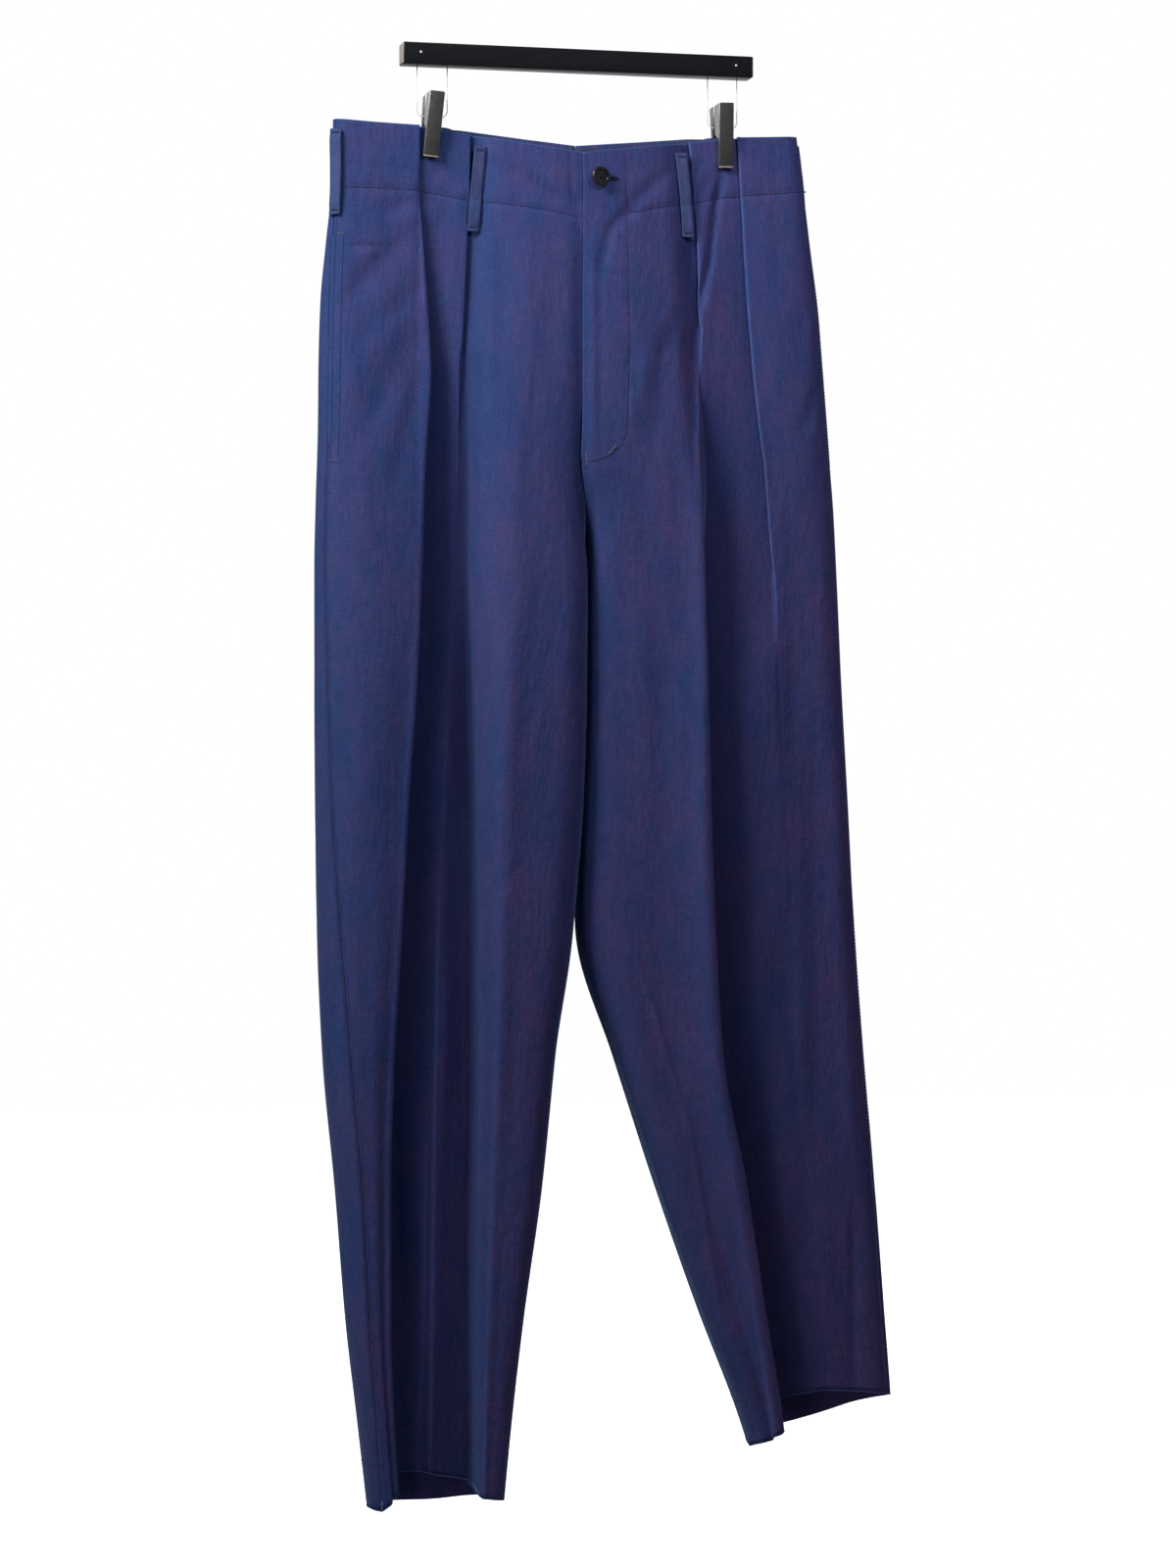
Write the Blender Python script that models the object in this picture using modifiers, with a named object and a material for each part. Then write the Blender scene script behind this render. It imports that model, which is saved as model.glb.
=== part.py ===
"""Pleated dress trousers, hanging by the waist from a hanger with two clips.

Frame: millimetres in the tables, metres in Blender. The origin is the middle of the
hanger bar's top face. +X is the wearer's left, -Y is the front, +Z is up.
Right and left are the wearer's own. Each leg is described by sections at fixed
heights. A section gives distances outward from the centre plane and depths (the
Y coordinate, negative towards the front), and the panels are lofted through them.
"""
import math

import bmesh
import bpy
from mathutils import Matrix, Vector

MM = 0.001

# ---------------------------------------------------------------- driving sizes
CLOTH = 1.0             # wall of one layer of cloth
SEAM_GAP = 0.5          # between two panels along a seam
LAYER_GAP = 0.35        # between a piece and the layer it lies on
FLY_WIDTH = 34.0        # from the lap edge to the curved fly stitching
FLY_BOTTOM = -318.0
FLY_CURVE = 24.0        # height over which the fly stitching curves in
FLY_SET_BACK = 0.6      # the fly facing's lower end stands this much further back
LOOP_WIDTH = 9.5
LOOP_LENGTH = 66.0
LOOP_THICKNESS = 1.4
BUTTON_DIAMETER = 16.5
BUTTON_THICKNESS = 3.2
BUTTON_X = 13.1
BUTTON_Z = -100.1
BUTTON_OFF = 3.4        # from the cloth to the button's back
BUTTON_TURN = 20.0      # degrees; it hangs turned a little towards the wearer's left
BAR_LENGTH = 278.0
BAR_HEIGHT = 16.4
BAR_DEPTH = 17.0
CLIP_TOP = -37.8
CLIP_BOTTOM = -86.8
CLIP_WIDTH = 12.0
CLIP_MIDDLE = 0.8       # depth of the clips' centre plane
CLIP_GRIP = 5.2         # from that plane to a jaw's lip
CLIP_REACH_LOW = 9.2    # from that plane to a jaw's outer face at its lip
CLIP_REACH_TOP = 15.5   # and at its top, where it is squeezed open
CLIP_PIVOT = -55.5
JAW_WALL = 1.1
BAIL_HALF_WIDTH = 11.8
BAIL_WIRE = 1.4

# ---------------------------------------------------------------- section tables
# Where the two legs part: X at each height.  Above the crotch this is the centre
# front; the legs lie side by side down to -680 and part below it.
PARTING = (
    (-60, 1.5), (-110, 1), (-155, 0.5), (-200, -0.5), (-250, -1), (-300, -2),
    (-320, -2.8), (-350, 1.5), (-405, 6), (-490, 5.5), (-580, 2.5), (-680, -4),
    (-780, -7), (-1125, -7),
)

# Distances outward from the centre plane.  seam: angle of the side seam round the
# side turn (0 faces front, 90 is the outermost edge, over 90 lies behind).
# in1/out1: where the outer pleat turns back outward, and where it turns in again.
# in2/out2: the same for the inner pleat.  crown: foremost line of the inner zone.
# apart: from the parting line to the inner edge.
PLAN = ("z", "side", "seam", "in1", "out1", "in2", "out2", "crown", "apart")
RIGHT_PLAN = (
    (-60, 192, 62, 125.5, 143.5, 85.5, 99.5, 20, -4),
    (-110, 193, 60, 126, 144, 86, 100, 25, -4),
    (-155, 197.5, 52, 123, 139, 88.5, 99.5, 30, -4),
    (-200, 201.5, 48, 120, 134, 90.5, 97.5, 38, -4),
    (-250, 203, 50, 118, 130, 93, 93, 46, -3),
    (-300, 203.5, 53, 121, 132, 94.5, 92.5, 54, 0),
    (-320, 204, 55, 122.5, 133, 95, 92, 55, 0),
    (-350, 205, 57, 124, 134, 96, 92, 58, 0),
    (-405, 206, 58, 126, 135, 98, 92, 60, 0),
    (-490, 206, 53, 130, 138, 101, 90, 65, 0),
    (-580, 205.5, 46, 136.5, 143.5, 103.5, 88, 69, 0),
    (-680, 204, 33, 142, 149, 107, 87, 71, 1.5),
    (-780, 199.5, 19, 148, 155, 110, 86.5, 73, 13),
    (-880, 190, 9, 150.5, 157, 116, 88, 76, 23.5),
    (-980, 182, 6, 150.5, 156, 119, 89, 79, 38),
    (-1060, 172.5, 12, 147, 152, 122, 88, 81, 47.5),
    (-1125, 165, 20, 142, 146.5, 123, 88, 81.5, 54),
)
LEFT_PLAN = (
    (-60, 176, 118, 126, 144, 87, 101, 20, 0),
    (-110, 182.5, 116, 129, 147, 92, 105, 25, 0),
    (-155, 188, 114, 131, 148, 94, 104, 30, 0),
    (-200, 194, 112, 133.5, 147.5, 94.5, 101.5, 38, 0),
    (-225, 196, 111, 135.5, 147.5, 95, 92.5, 42, 0),
    (-250, 198, 110, 137.5, 147, 95, 92.5, 46, 0),
    (-300, 202, 108, 143, 147, 95.5, 94, 54, 0),
    (-320, 203.5, 107, 146, 149.5, 95.5, 94.5, 56, 0),
    (-350, 206, 106, 148.5, 151.5, 94.5, 95.6, 59, 0),
    (-405, 209, 104, 153, 154, 93, 96, 60, 0),
    (-490, 213, 102, 158, 154, 93, 97, 62, 0),
    (-580, 218, 98, 164, 158, 92.5, 98, 63, 0),
    (-680, 223.5, 92, 170, 163, 96, 101.5, 62, 3.4),
    (-780, 231, 80, 176, 168, 102, 108, 72, 36),
    (-880, 240, 56, 188, 180, 120, 127, 97, 69),
    (-980, 248, 48, 198, 190, 135.5, 143, 123, 104.5),
    (-1060, 254, 44, 206, 198, 149.5, 157, 146, 136),
    (-1125, 256, 42, 212, 204, 158, 165, 157, 157),
)

# Depths.  side: the outermost edge.  outer: crown of the outer zone.  lip1/floor1:
# the cloth as it enters and leaves the outer pleat.  lip2/foot2: the same for the
# inner pleat.  crown: inner zone.  inner: its inner edge.  turn: how far the cloth
# has turned there, from 15 degrees across the fly to 90 round the inseam.
DEPTH = ("z", "side", "outer", "lip1", "floor1", "lip2", "foot2", "crown", "inner", "turn")
RIGHT_DEPTH = (
    (-60, -1, -7, -7, -3.2, -4.2, -0.4, -13.2, -11.7, 15),
    (-110, -1, -9.5, -8, -3.8, -5.6, -1.6, -16.5, -14.7, 15),
    (-155, -1, -12.5, -10.5, -4, -6.2, -2, -20, -18.2, 15),
    (-200, 0, -15.5, -13.5, -3.5, -6, -1.8, -23.5, -21.2, 15),
    (-250, 0, -18.5, -16.5, -1.5, -5, -1.5, -27.5, -23.7, 20),
    (-300, 0, -21, -19, 1, -2.5, -1, -31, -25.2, 30),
    (-320, 0, -22, -20, 1.8, -2, -1, -32.5, -25.2, 35),
    (-350, 0, -23, -21, 2.5, -1, -0.5, -34, -20, 60),
    (-405, 1, -25, -22.5, 3.5, 0, 0, -37, -0.3, 90),
    (-490, 1, -27, -24, 5, 1, 3, -40, -0.3, 90),
    (-580, 1, -28, -25, 6, 1, 5, -42, -0.3, 90),
    (-680, 2, -29, -25.5, 6.5, 1, 5.5, -43, -0.3, 90),
    (-780, 2, -29, -25.5, 6.5, 1, 5.5, -42, -0.3, 90),
    (-880, 2, -28, -25, 6.5, 1, 5.5, -40.5, -0.3, 90),
    (-980, 2, -27, -24, 6, 0.5, 5, -38, -0.3, 90),
    (-1060, 2, -25, -22, 5, 0, 4.5, -34.5, -0.3, 90),
    (-1125, 2, -23.5, -20.5, 4.5, 0, 4.5, -32, -0.3, 90),
)
LEFT_DEPTH = (
    (-60, -1, -7, -7, -3.2, -4.2, -0.4, -14, -14.5, 15),
    (-110, -1, -9.5, -8, -3.8, -5.6, -1.6, -17, -17.5, 15),
    (-155, -1, -12, -10.5, -5.5, -8.5, -4.3, -20.5, -21, 15),
    (-200, 0, -14, -12.5, -7.5, -11, -6.8, -24, -24, 15),
    (-225, 0, -14.8, -13.4, -8.6, -11.6, -8, -26, -25.4, 17),
    (-250, 0, -15.5, -14.2, -9.6, -12.5, -12.5, -27, -26.5, 20),
    (-300, 0, -16, -15.2, -11.3, -13, -22, -28, -28, 30),
    (-320, 0, -15.8, -15, -11.1, -13.5, -25.5, -28.5, -27.6, 35),
    (-350, 0, -15, -14.6, -10.9, -15, -30, -28.5, -20, 60),
    (-405, 0, -13, -14, -11, -17, -34, -28, -0.3, 90),
    (-490, 0, -11.5, -13, -14, -19, -37, -27.5, -0.3, 90),
    (-580, 0, -10.5, -12.5, -13, -18, -38.5, -27.5, -0.3, 90),
    (-680, 0, -10.5, -12, -12.5, -15, -39, -28, -0.3, 90),
    (-780, 0, -10.5, -12, -11.5, -12, -38.5, -28, -0.3, 90),
    (-880, 0, -10.5, -11.5, -11, -10, -37, -28, -0.3, 90),
    (-980, 0, -10, -11, -10.5, -9, -35, -27, -0.3, 90),
    (-1060, 0, -10, -10.5, -10, -8, -32, -25, -0.3, 90),
    (-1125, 0, -9.5, -10, -10, -8, -30, -24, -0.3, 90),
)

# Back panels: depths at 22, 50 and 78 percent of the way in, and at the inner edge.
BACK = ("z", "out", "mid", "in", "edge")
BACK_DEPTH = (
    (-60, 3, 5.2, 8, 9),
    (-90, 3.4, 6, 9.5, 10.5),
    (-110, 5, 7, 11, 12),
    (-155, 9, 9, 14, 14.5),
    (-200, 13, 11, 17.5, 17.5),
    (-250, 17, 12.5, 21, 20),
    (-300, 20, 14, 24.5, 21.5),
    (-350, 22, 15, 27, 16),
    (-405, 24, 16, 28.5, 0.3),
    (-490, 26, 17.5, 30, 0.3),
    (-580, 27, 18.5, 31, 0.3),
    (-680, 26, 19.5, 31, 0.3),
    (-780, 25, 20, 30, 0.3),
    (-880, 24, 19, 28.5, 0.3),
    (-980, 22.5, 17, 26.5, 0.3),
    (-1060, 21, 16, 24.5, 0.3),
    (-1125, 20, 15.5, 23, 0.3),
)

# Heights of the top edge and the two hems at the named lines of a front panel,
# and at the seam, the middle and the inner edge of a back panel.
FRONT_ENDS = {
    "seam": (-61.0, -1122.0, -1048.0),
    "near1": (-63.6, -1113.0, -1044.5),
    "leave1": (-63.2, -1102.0, -1044.0),
    "clear1": (-64.4, -1096.5, -1044.0),
    "near2": (-68.6, -1096.0, -1049.0),
    "enter2": (-68.8, -1096.5, -1056.0),
    "leave2": (-68.0, -1105.0, -1073.5),
    "clear2": (-69.5, -1109.0, -1075.5),
    "crown": (-78.4, -1113.5, -1079.0),
    "inner": (-81.2, -1120.0, -1087.0),
}
BACK_ENDS = {
    "seam": (-61.0, -1122.0, -1048.5),
    "mid": (-64.8, -1120.5, -1067.0),
    "inner": (-72.6, -1120.0, -1087.0),
}

# Columns of cells between the named lines of a panel.
FRONT_CELLS = (
    ("seam", 9), ("outer", 2), ("near1", 1), ("enter1", 8), ("leave1", 1), ("clear1", 3),
    ("near2", 1), ("enter2", 8), ("leave2", 1), ("clear2", 4),
    ("crown", 5), ("inner", 0),
)
BACK_CELLS = (("seam", 8), ("outer", 3), ("mid", 6), ("inner", 0))

# The rows of cells, as parts of a panel's length from its top edge.  Front and back
# share them, so that they meet row for row along the side seam.
ROWS = (
    0, 0.014, 0.030, 0.050, 0.075, 0.103, 0.131, 0.160, 0.190, 0.218, 0.242, 0.262,
    0.285, 0.308, 0.332, 0.375, 0.430, 0.490, 0.555, 0.620, 0.685, 0.750, 0.815,
    0.880, 0.940, 1.0,
)


# ---------------------------------------------------------------- small maths
def mix(a, b, part):
    return a + (b - a) * part


def mix_point(a, b, part):
    return (mix(a[0], b[0], part), mix(a[1], b[1], part))


def ease(x):
    x = min(1.0, max(0.0, x))
    return x * x * (3.0 - 2.0 * x)


class Sections:
    """A table of sections whose columns run smoothly, with no overshoot, in height."""

    def __init__(self, columns, rows):
        rows = sorted(rows)
        self.heights = [row[0] for row in rows]
        self.values = {name: [row[i] for row in rows] for i, name in enumerate(columns)}
        self.slopes = {name: self.slopes_of(values) for name, values in self.values.items()}

    def slopes_of(self, values):
        steps = [b - a for a, b in zip(self.heights, self.heights[1:])]
        rises = [(b - a) / h for a, b, h in zip(values, values[1:], steps)]
        slopes = [rises[0]]
        for i in range(1, len(values) - 1):
            before, after = rises[i - 1], rises[i]
            if before * after <= 0.0:
                slopes.append(0.0)
                continue
            w1 = 2.0 * steps[i] + steps[i - 1]
            w2 = steps[i] + 2.0 * steps[i - 1]
            slopes.append((w1 + w2) / (w1 / before + w2 / after))
        slopes.append(rises[-1])
        return slopes

    def at(self, z):
        z = min(self.heights[-1], max(self.heights[0], z))
        i = 0
        while i < len(self.heights) - 2 and z > self.heights[i + 1]:
            i += 1
        h = self.heights[i + 1] - self.heights[i]
        t = (z - self.heights[i]) / h
        found = {}
        for name, values in self.values.items():
            slopes = self.slopes[name]
            found[name] = (
                values[i] * (1.0 + 2.0 * t) * (1.0 - t) ** 2
                + slopes[i] * h * t * (1.0 - t) ** 2
                + values[i + 1] * t * t * (3.0 - 2.0 * t)
                + slopes[i + 1] * h * t * t * (t - 1.0)
            )
        return found


def smooth_run(before, a, b, after, count):
    """Points from a to b on a centripetal Catmull-Rom curve, b left out."""
    def knot(t, p, q):
        return t + max(1e-6, math.dist(p, q)) ** 0.5

    t0 = 0.0
    t1 = knot(t0, before, a)
    t2 = knot(t1, a, b)
    t3 = knot(t2, b, after)

    def blend(p, q, ta, tb, t):
        return mix_point(p, q, (t - ta) / (tb - ta))

    points = []
    for k in range(count):
        t = mix(t1, t2, k / count)
        low = blend(before, a, t0, t1, t)
        middle = blend(a, b, t1, t2, t)
        high = blend(b, after, t2, t3, t)
        points.append(blend(blend(low, middle, t0, t2, t), blend(middle, high, t1, t3, t), t1, t2, t))
    return points


def smooth_path(stations, fine=8):
    """A fine path through the stations, and where each station falls on it."""
    first = mix_point(stations[1], stations[0], 2.0)
    last = mix_point(stations[-2], stations[-1], 2.0)
    padded = [first] + list(stations) + [last]
    path, places = [], []
    for i in range(1, len(padded) - 2):
        places.append(len(path))
        path += smooth_run(padded[i - 1], padded[i], padded[i + 1], padded[i + 2], fine)
    places.append(len(path))
    path.append(stations[-1])
    return path, places


def spaced(path, count):
    """count equal steps along a path, its last point left out."""
    lengths = [0.0]
    for a, b in zip(path, path[1:]):
        lengths.append(lengths[-1] + math.dist(a, b))
    points, i = [], 0
    for k in range(count):
        want = lengths[-1] * k / count
        while lengths[i + 1] < want and i < len(path) - 2:
            i += 1
        run = lengths[i + 1] - lengths[i]
        points.append(mix_point(path[i], path[i + 1], (want - lengths[i]) / run if run else 0.0))
    return points


def trimmed(path, length):
    """The path without its first length."""
    path = list(path)
    while math.dist(path[0], path[1]) <= length:
        length -= math.dist(path[0], path[1])
        path.pop(0)
    path[0] = mix_point(path[0], path[1], length / math.dist(path[0], path[1]))
    return path


# ---------------------------------------------------------------- the sections
def fold(inner_turn, outer_turn, y_in, y_out, number):
    """The stations of one pleat.  The cloth comes in at depth y_in, rolls back at
    inner_turn, runs out to outer_turn, rolls in again and leaves at depth y_out.
    A pleat with no lap, or with hardly any step, lies open as a slope instead."""
    step = y_out - y_in
    lap = outer_turn - inner_turn
    way = 1.0 if step >= 0.0 else -1.0
    front_roll = min(0.36 * abs(step), 3.2)
    back_roll = min(0.13 * abs(step), 1.6)
    roll_a, roll_b = (front_roll, back_roll) if step >= 0.0 else (back_roll, front_roll)
    closed = ease(lap / (roll_a + roll_b + 0.5)) * ease((abs(step) - 1.2) / 1.8)
    middle = (inner_turn + outer_turn) / 2.0
    half = max((roll_a + roll_b - lap) / 2.0, min(0.5 * abs(step), 5.0), 1.5)

    def slope(part):
        down = mix(ease(part), 1.0 - (1.0 - part) ** 2, 0.6)
        return (mix(middle + half, middle - half, part), mix(y_in, y_out, down))

    points = []
    for k in range(5):
        turn = math.radians(45.0 * k)
        rolled = (inner_turn + roll_a * (1.0 - math.sin(turn)),
                  y_in + way * roll_a * (1.0 - math.cos(turn)))
        points.append(mix_point(slope(0.1 * k), rolled, closed))
    for k in range(4):
        turn = math.radians(60.0 * k)
        rolled = (outer_turn - roll_b * (1.0 - math.sin(turn)),
                  y_out - way * roll_b * (1.0 + math.cos(turn)))
        points.append(mix_point(slope(0.6 + 0.4 * k / 3.0), rolled, closed))
    named = [("near" + number, (points[0][0] + 2.5, y_in)), ("enter" + number, points[0])]
    named += [("", point) for point in points[1:-1]]
    named.append(("leave" + number, points[-1]))
    named.append(("clear" + number, (min(inner_turn, points[-1][0]) - 2.5, y_out)))
    return named


BACK_SECTIONS = Sections(BACK, BACK_DEPTH)


class Leg:
    """One leg's tables, and the plan curves of its front and back at a height."""

    def __init__(self, name, sign, plan, depth):
        self.name = name
        self.sign = sign
        self.plan = Sections(PLAN, plan)
        self.depth = Sections(DEPTH, depth)
        self.back = BACK_SECTIONS
        self.parting = Sections(("z", "x"), PARTING)

    def plan_at(self, z):
        p = self.plan.at(z)
        p["middle"] = self.sign * self.parting.at(z)["x"]
        p["inner"] = p["middle"] + p["apart"]
        return p

    def side_turn(self, p, y, behind, degrees):
        """A point of the rounded side edge: 0 is its front crown, 180 its back one."""
        turn = math.radians(degrees)
        if degrees <= 90.0:
            depth, widest = y["outer"], 0.5 * (p["side"] - p["in1"])
        else:
            depth, widest = behind["out"], 0.22 * (p["side"] - p["inner"])
        reach = min(widest, 3.0 + 1.4 * abs(depth - y["side"]))
        return (p["side"] - reach * (1.0 - math.sin(turn)),
                mix(y["side"], depth, abs(math.cos(turn))))

    def front(self, z):
        p, y, behind = self.plan_at(z), self.depth.at(z), self.back.at(z)
        named = [("", self.side_turn(p, y, behind, p["seam"] + 12.0)),
                 ("seam", self.side_turn(p, y, behind, p["seam"]))]
        count = 5
        for k in range(1, count + 1):
            angle = p["seam"] * (1.0 - k / count)
            named.append(("", self.side_turn(p, y, behind, angle)))
        named.append(("outer", (mix(named[-1][1][0], p["in1"], 0.35), y["outer"])))
        named += fold(p["in1"], p["out1"], y["lip1"], y["floor1"], "1")
        inner_fold = fold(p["in2"], p["out2"], y["lip2"], y["foot2"], "2")
        strip = mix_point(named[-1][1], inner_fold[0][1], 0.5)
        named.append(("", (strip[0], mix(y["floor1"], y["lip2"], 0.3))))
        named += inner_fold
        crown = (p["crown"], y["crown"])
        low = inner_fold[-1][1]
        rise = 0.66 if crown[1] < low[1] else 0.5
        named.append(("", (mix(low[0], crown[0], 0.32), mix(low[1], crown[1], rise))))
        named += self.inner_turn(crown, (p["inner"] + SEAM_GAP / 2, y["inner"]), y["turn"])
        return named

    def behind(self, z):
        p, y, behind = self.plan_at(z), self.depth.at(z), self.back.at(z)
        named = [("", self.side_turn(p, y, behind, p["seam"] - 12.0)),
                 ("seam", self.side_turn(p, y, behind, p["seam"]))]
        count = 6
        for k in range(1, count + 1):
            angle = mix(p["seam"], 180.0, k / count)
            named.append(("outer" if k == count else "", self.side_turn(p, y, behind, angle)))
        named.append(("mid", (mix(p["side"], p["inner"], 0.5), behind["mid"])))
        crown = (mix(p["side"], p["inner"], 0.78), behind["in"])
        edge = (self.back_inner(z, p) + SEAM_GAP / 2, behind["edge"])
        inner_run = self.inner_turn(crown, edge, y["turn"])
        named += [("", inner_run[0][1])] + inner_run[1:]
        return named

    def back_inner(self, z, p):
        """The centre back seam is upright; from the crotch down it is the inseam."""
        if z > -350.0:
            return mix(0.0, p["middle"], ease((-300.0 - z) / 50.0))
        return p["inner"]

    def inner_turn(self, crown, edge, degrees):
        """From the crown round to the inner edge.  A full turn keeps forward for longer
        than an ellipse does, and then turns back sharply."""
        count = 6
        full = math.radians(degrees)
        late = 1.0 + ease((degrees - 30.0) / 60.0)
        named = [("crown", crown)]
        for k in range(1, count + 1):
            t = full * k / count
            across = math.sin(t) / math.sin(full)
            round_in = ((1.0 - math.cos(t)) / (1.0 - math.cos(full))) ** late
            named.append(("inner" if k == count else "",
                          (mix(crown[0], edge[0], across), mix(crown[1], edge[1], round_in))))
        return named

    def point(self, distance, depth, z):
        return Vector((self.sign * distance, depth, z))


RIGHT = Leg("right", -1.0, RIGHT_PLAN, RIGHT_DEPTH)
LEFT = Leg("left", 1.0, LEFT_PLAN, LEFT_DEPTH)
HEM_COLUMN = {"right": 1, "left": 2}


def columns_at(curve, cells, z):
    """The plan points of every column of a panel at one height."""
    named = curve(z)
    path, places = smooth_path([point for _, point in named])
    marks = {name: place for (name, _), place in zip(named, places) if name}
    points = []
    for (name, count), (next_name, _) in zip(cells, cells[1:]):
        run = path[marks[name]:marks[next_name] + 1]
        if name == "seam":
            run = trimmed(run, SEAM_GAP / 2)
            points.append(run[0])
            points += spaced(trimmed(run, 1.2), count - 1)
        elif next_name == "inner":
            points += spaced(trimmed(run[::-1], 1.5)[::-1], count - 1)
            points.append(trimmed(run[::-1], 1.5)[0])
        elif name.startswith("enter"):
            first = places.index(marks[name])
            points += [path[place] for place in places[first:first + count]]
        else:
            points += spaced(run, count)
    points.append(path[-1])
    return points


def column_heights(cells, ends, which):
    """The height of an edge at every column, even between the named lines."""
    totals, known, total = [], [], 0
    for name, count in cells:
        if name in ends:
            known.append((total, ends[name][which]))
        total += count
    for column in range(total + 1):
        for (c0, z0), (c1, z1) in zip(known, known[1:]):
            if c0 <= column <= c1:
                totals.append(mix(z0, z1, (column - c0) / (c1 - c0)))
                break
    return totals


# ---------------------------------------------------------------- mesh helpers
def clear_scene():
    for item in list(bpy.data.objects):
        bpy.data.objects.remove(item, do_unlink=True)


def new_collection(name):
    collection = bpy.data.collections.new(name)
    bpy.context.scene.collection.children.link(collection)
    return collection


def material(name, colour, roughness, metallic=0.0):
    made = bpy.data.materials.new(name)
    made.use_nodes = True
    shader = made.node_tree.nodes["Principled BSDF"]
    shader.inputs["Base Color"].default_value = (*colour, 1.0)
    shader.inputs["Roughness"].default_value = roughness
    shader.inputs["Metallic"].default_value = metallic
    return made


def add_object(name, mesh, collection, mat):
    made = bpy.data.objects.new(name, mesh)
    collection.objects.link(made)
    if mat:
        mesh.materials.append(mat)
    return made


def mesh_from(bm, name, smooth_angle=40.0):
    mesh = bpy.data.meshes.new(name)
    bm.to_mesh(mesh)
    bm.free()
    mesh.shade_smooth()
    mesh.set_sharp_from_angle(angle=math.radians(smooth_angle))
    return mesh


def sheet(name, rows, flip, thickness, collection, mat, outward=False):
    """A wall of cloth: a grid of points in millimetres, given its thickness.  The
    grid is the outer face, unless outward is set, when it is the inner one."""
    bm = bmesh.new()
    grid = [[bm.verts.new(point * MM) for point in row] for row in rows]
    for upper, lower in zip(grid, grid[1:]):
        for k in range(len(upper) - 1):
            corners = (upper[k], upper[k + 1], lower[k + 1], lower[k])
            bm.faces.new(corners[::-1] if flip else corners)
    made = add_object(name, mesh_from(bm, name), collection, mat)
    wall = made.modifiers.new("Thickness", "SOLIDIFY")
    wall.thickness = thickness * MM
    wall.offset = 1.0 if outward else -1.0
    wall.use_quality_normals = True
    return made


def turned(name, profile, steps, collection, mat):
    """A closed profile of (radius, height) points in millimetres, turned about Z."""
    bm = bmesh.new()
    verts = [bm.verts.new((radius * MM, 0.0, height * MM)) for radius, height in profile[::-1]]
    for a, b in zip(verts, verts[1:] + verts[:1]):
        bm.edges.new((a, b))
    made = add_object(name, mesh_from(bm, name), collection, mat)
    lathe = made.modifiers.new("Turn", "SCREW")
    lathe.steps = steps
    lathe.render_steps = steps
    lathe.use_merge_vertices = True
    lathe.merge_threshold = 0.00001
    return made


def block(name, size, centre, bevel, collection, mat):
    bm = bmesh.new()
    bmesh.ops.create_cube(bm, size=1.0)
    bmesh.ops.scale(bm, vec=Vector(size) * MM, verts=bm.verts)
    made = add_object(name, mesh_from(bm, name), collection, mat)
    made.location = Vector(centre) * MM
    if bevel:
        rounding = made.modifiers.new("Rounding", "BEVEL")
        rounding.width = bevel * MM
        rounding.segments = 2
        rounding.limit_method = "ANGLE"
    return made


# ---------------------------------------------------------------- the panels
def panel_rows(leg, curve, cells, ends, parts):
    """The points of a panel's outer face, a row for each part of its length."""
    tops = column_heights(cells, ends, 0)
    hems = column_heights(cells, ends, HEM_COLUMN[leg.name])
    rows = []
    for part in parts:
        row = []
        for column, (top, hem) in enumerate(zip(tops, hems)):
            z = mix(top, hem, part)
            distance, depth = columns_at(curve, cells, z)[column]
            row.append(leg.point(distance, depth, z))
        rows.append(row)
    return rows


def moved(rows, distance):
    """The rows moved square to their own surface; a distance over 0 goes to the left
    of the way the rows run, seen from above."""
    result = []
    for i, row in enumerate(rows):
        above, below = rows[max(0, i - 1)], rows[min(len(rows) - 1, i + 1)]
        line = []
        for k, point in enumerate(row):
            along = row[min(len(row) - 1, k + 1)] - row[max(0, k - 1)]
            down = below[k] - above[k]
            line.append(point + along.cross(down).normalized() * -distance)
        result.append(line)
    return result


def build_panels(collection, mat):
    for leg in (RIGHT, LEFT):
        is_left = leg is LEFT
        front = panel_rows(leg, leg.front, FRONT_CELLS, FRONT_ENDS, ROWS)
        behind = panel_rows(leg, leg.behind, BACK_CELLS, BACK_ENDS, ROWS)
        sheet("front_" + leg.name, front, not is_left, CLOTH, collection, mat)
        sheet("back_" + leg.name, behind, is_left, CLOTH, collection, mat)


# ---------------------------------------------------------------- waist facings
FACING_ROWS = (0.0008, 0.014, 0.030, 0.046)


def inward(run, k, distance):
    """A point of a run moved square to it, into the leg."""
    before, after = run[max(0, k - 1)], run[min(len(run) - 1, k + 1)]
    way = Vector((after[0] - before[0], after[1] - before[1])).normalized()
    return (run[k][0] + way.y * distance, run[k][1] - way.x * distance)


def facing_point(leg, z, column):
    """A front facing follows its panel, but runs flat past the back of each pleat."""
    away = CLOTH + LAYER_GAP
    p, y = leg.plan_at(z), leg.depth.at(z)
    points = columns_at(leg.front, FRONT_CELLS, z)
    outer = FRONT_CELLS[0][1]
    clear = len(points) - 1 - FRONT_CELLS[-2][1] - FRONT_CELLS[-3][1]
    floor, foot = y["floor1"] + away, y["foot2"] + away
    passing = [
        (p["out1"] + 6.0, y["lip1"] + away),
        (p["out1"] + 2.4, floor),
        (p["out2"] + 6.0, floor),
        (p["out2"] + 2.4, foot),
    ]
    if column < outer:
        return inward(points, column + 1, away)
    if column < outer + len(passing):
        return passing[column - outer]
    return inward(points, clear + column - outer - len(passing), away)


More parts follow.
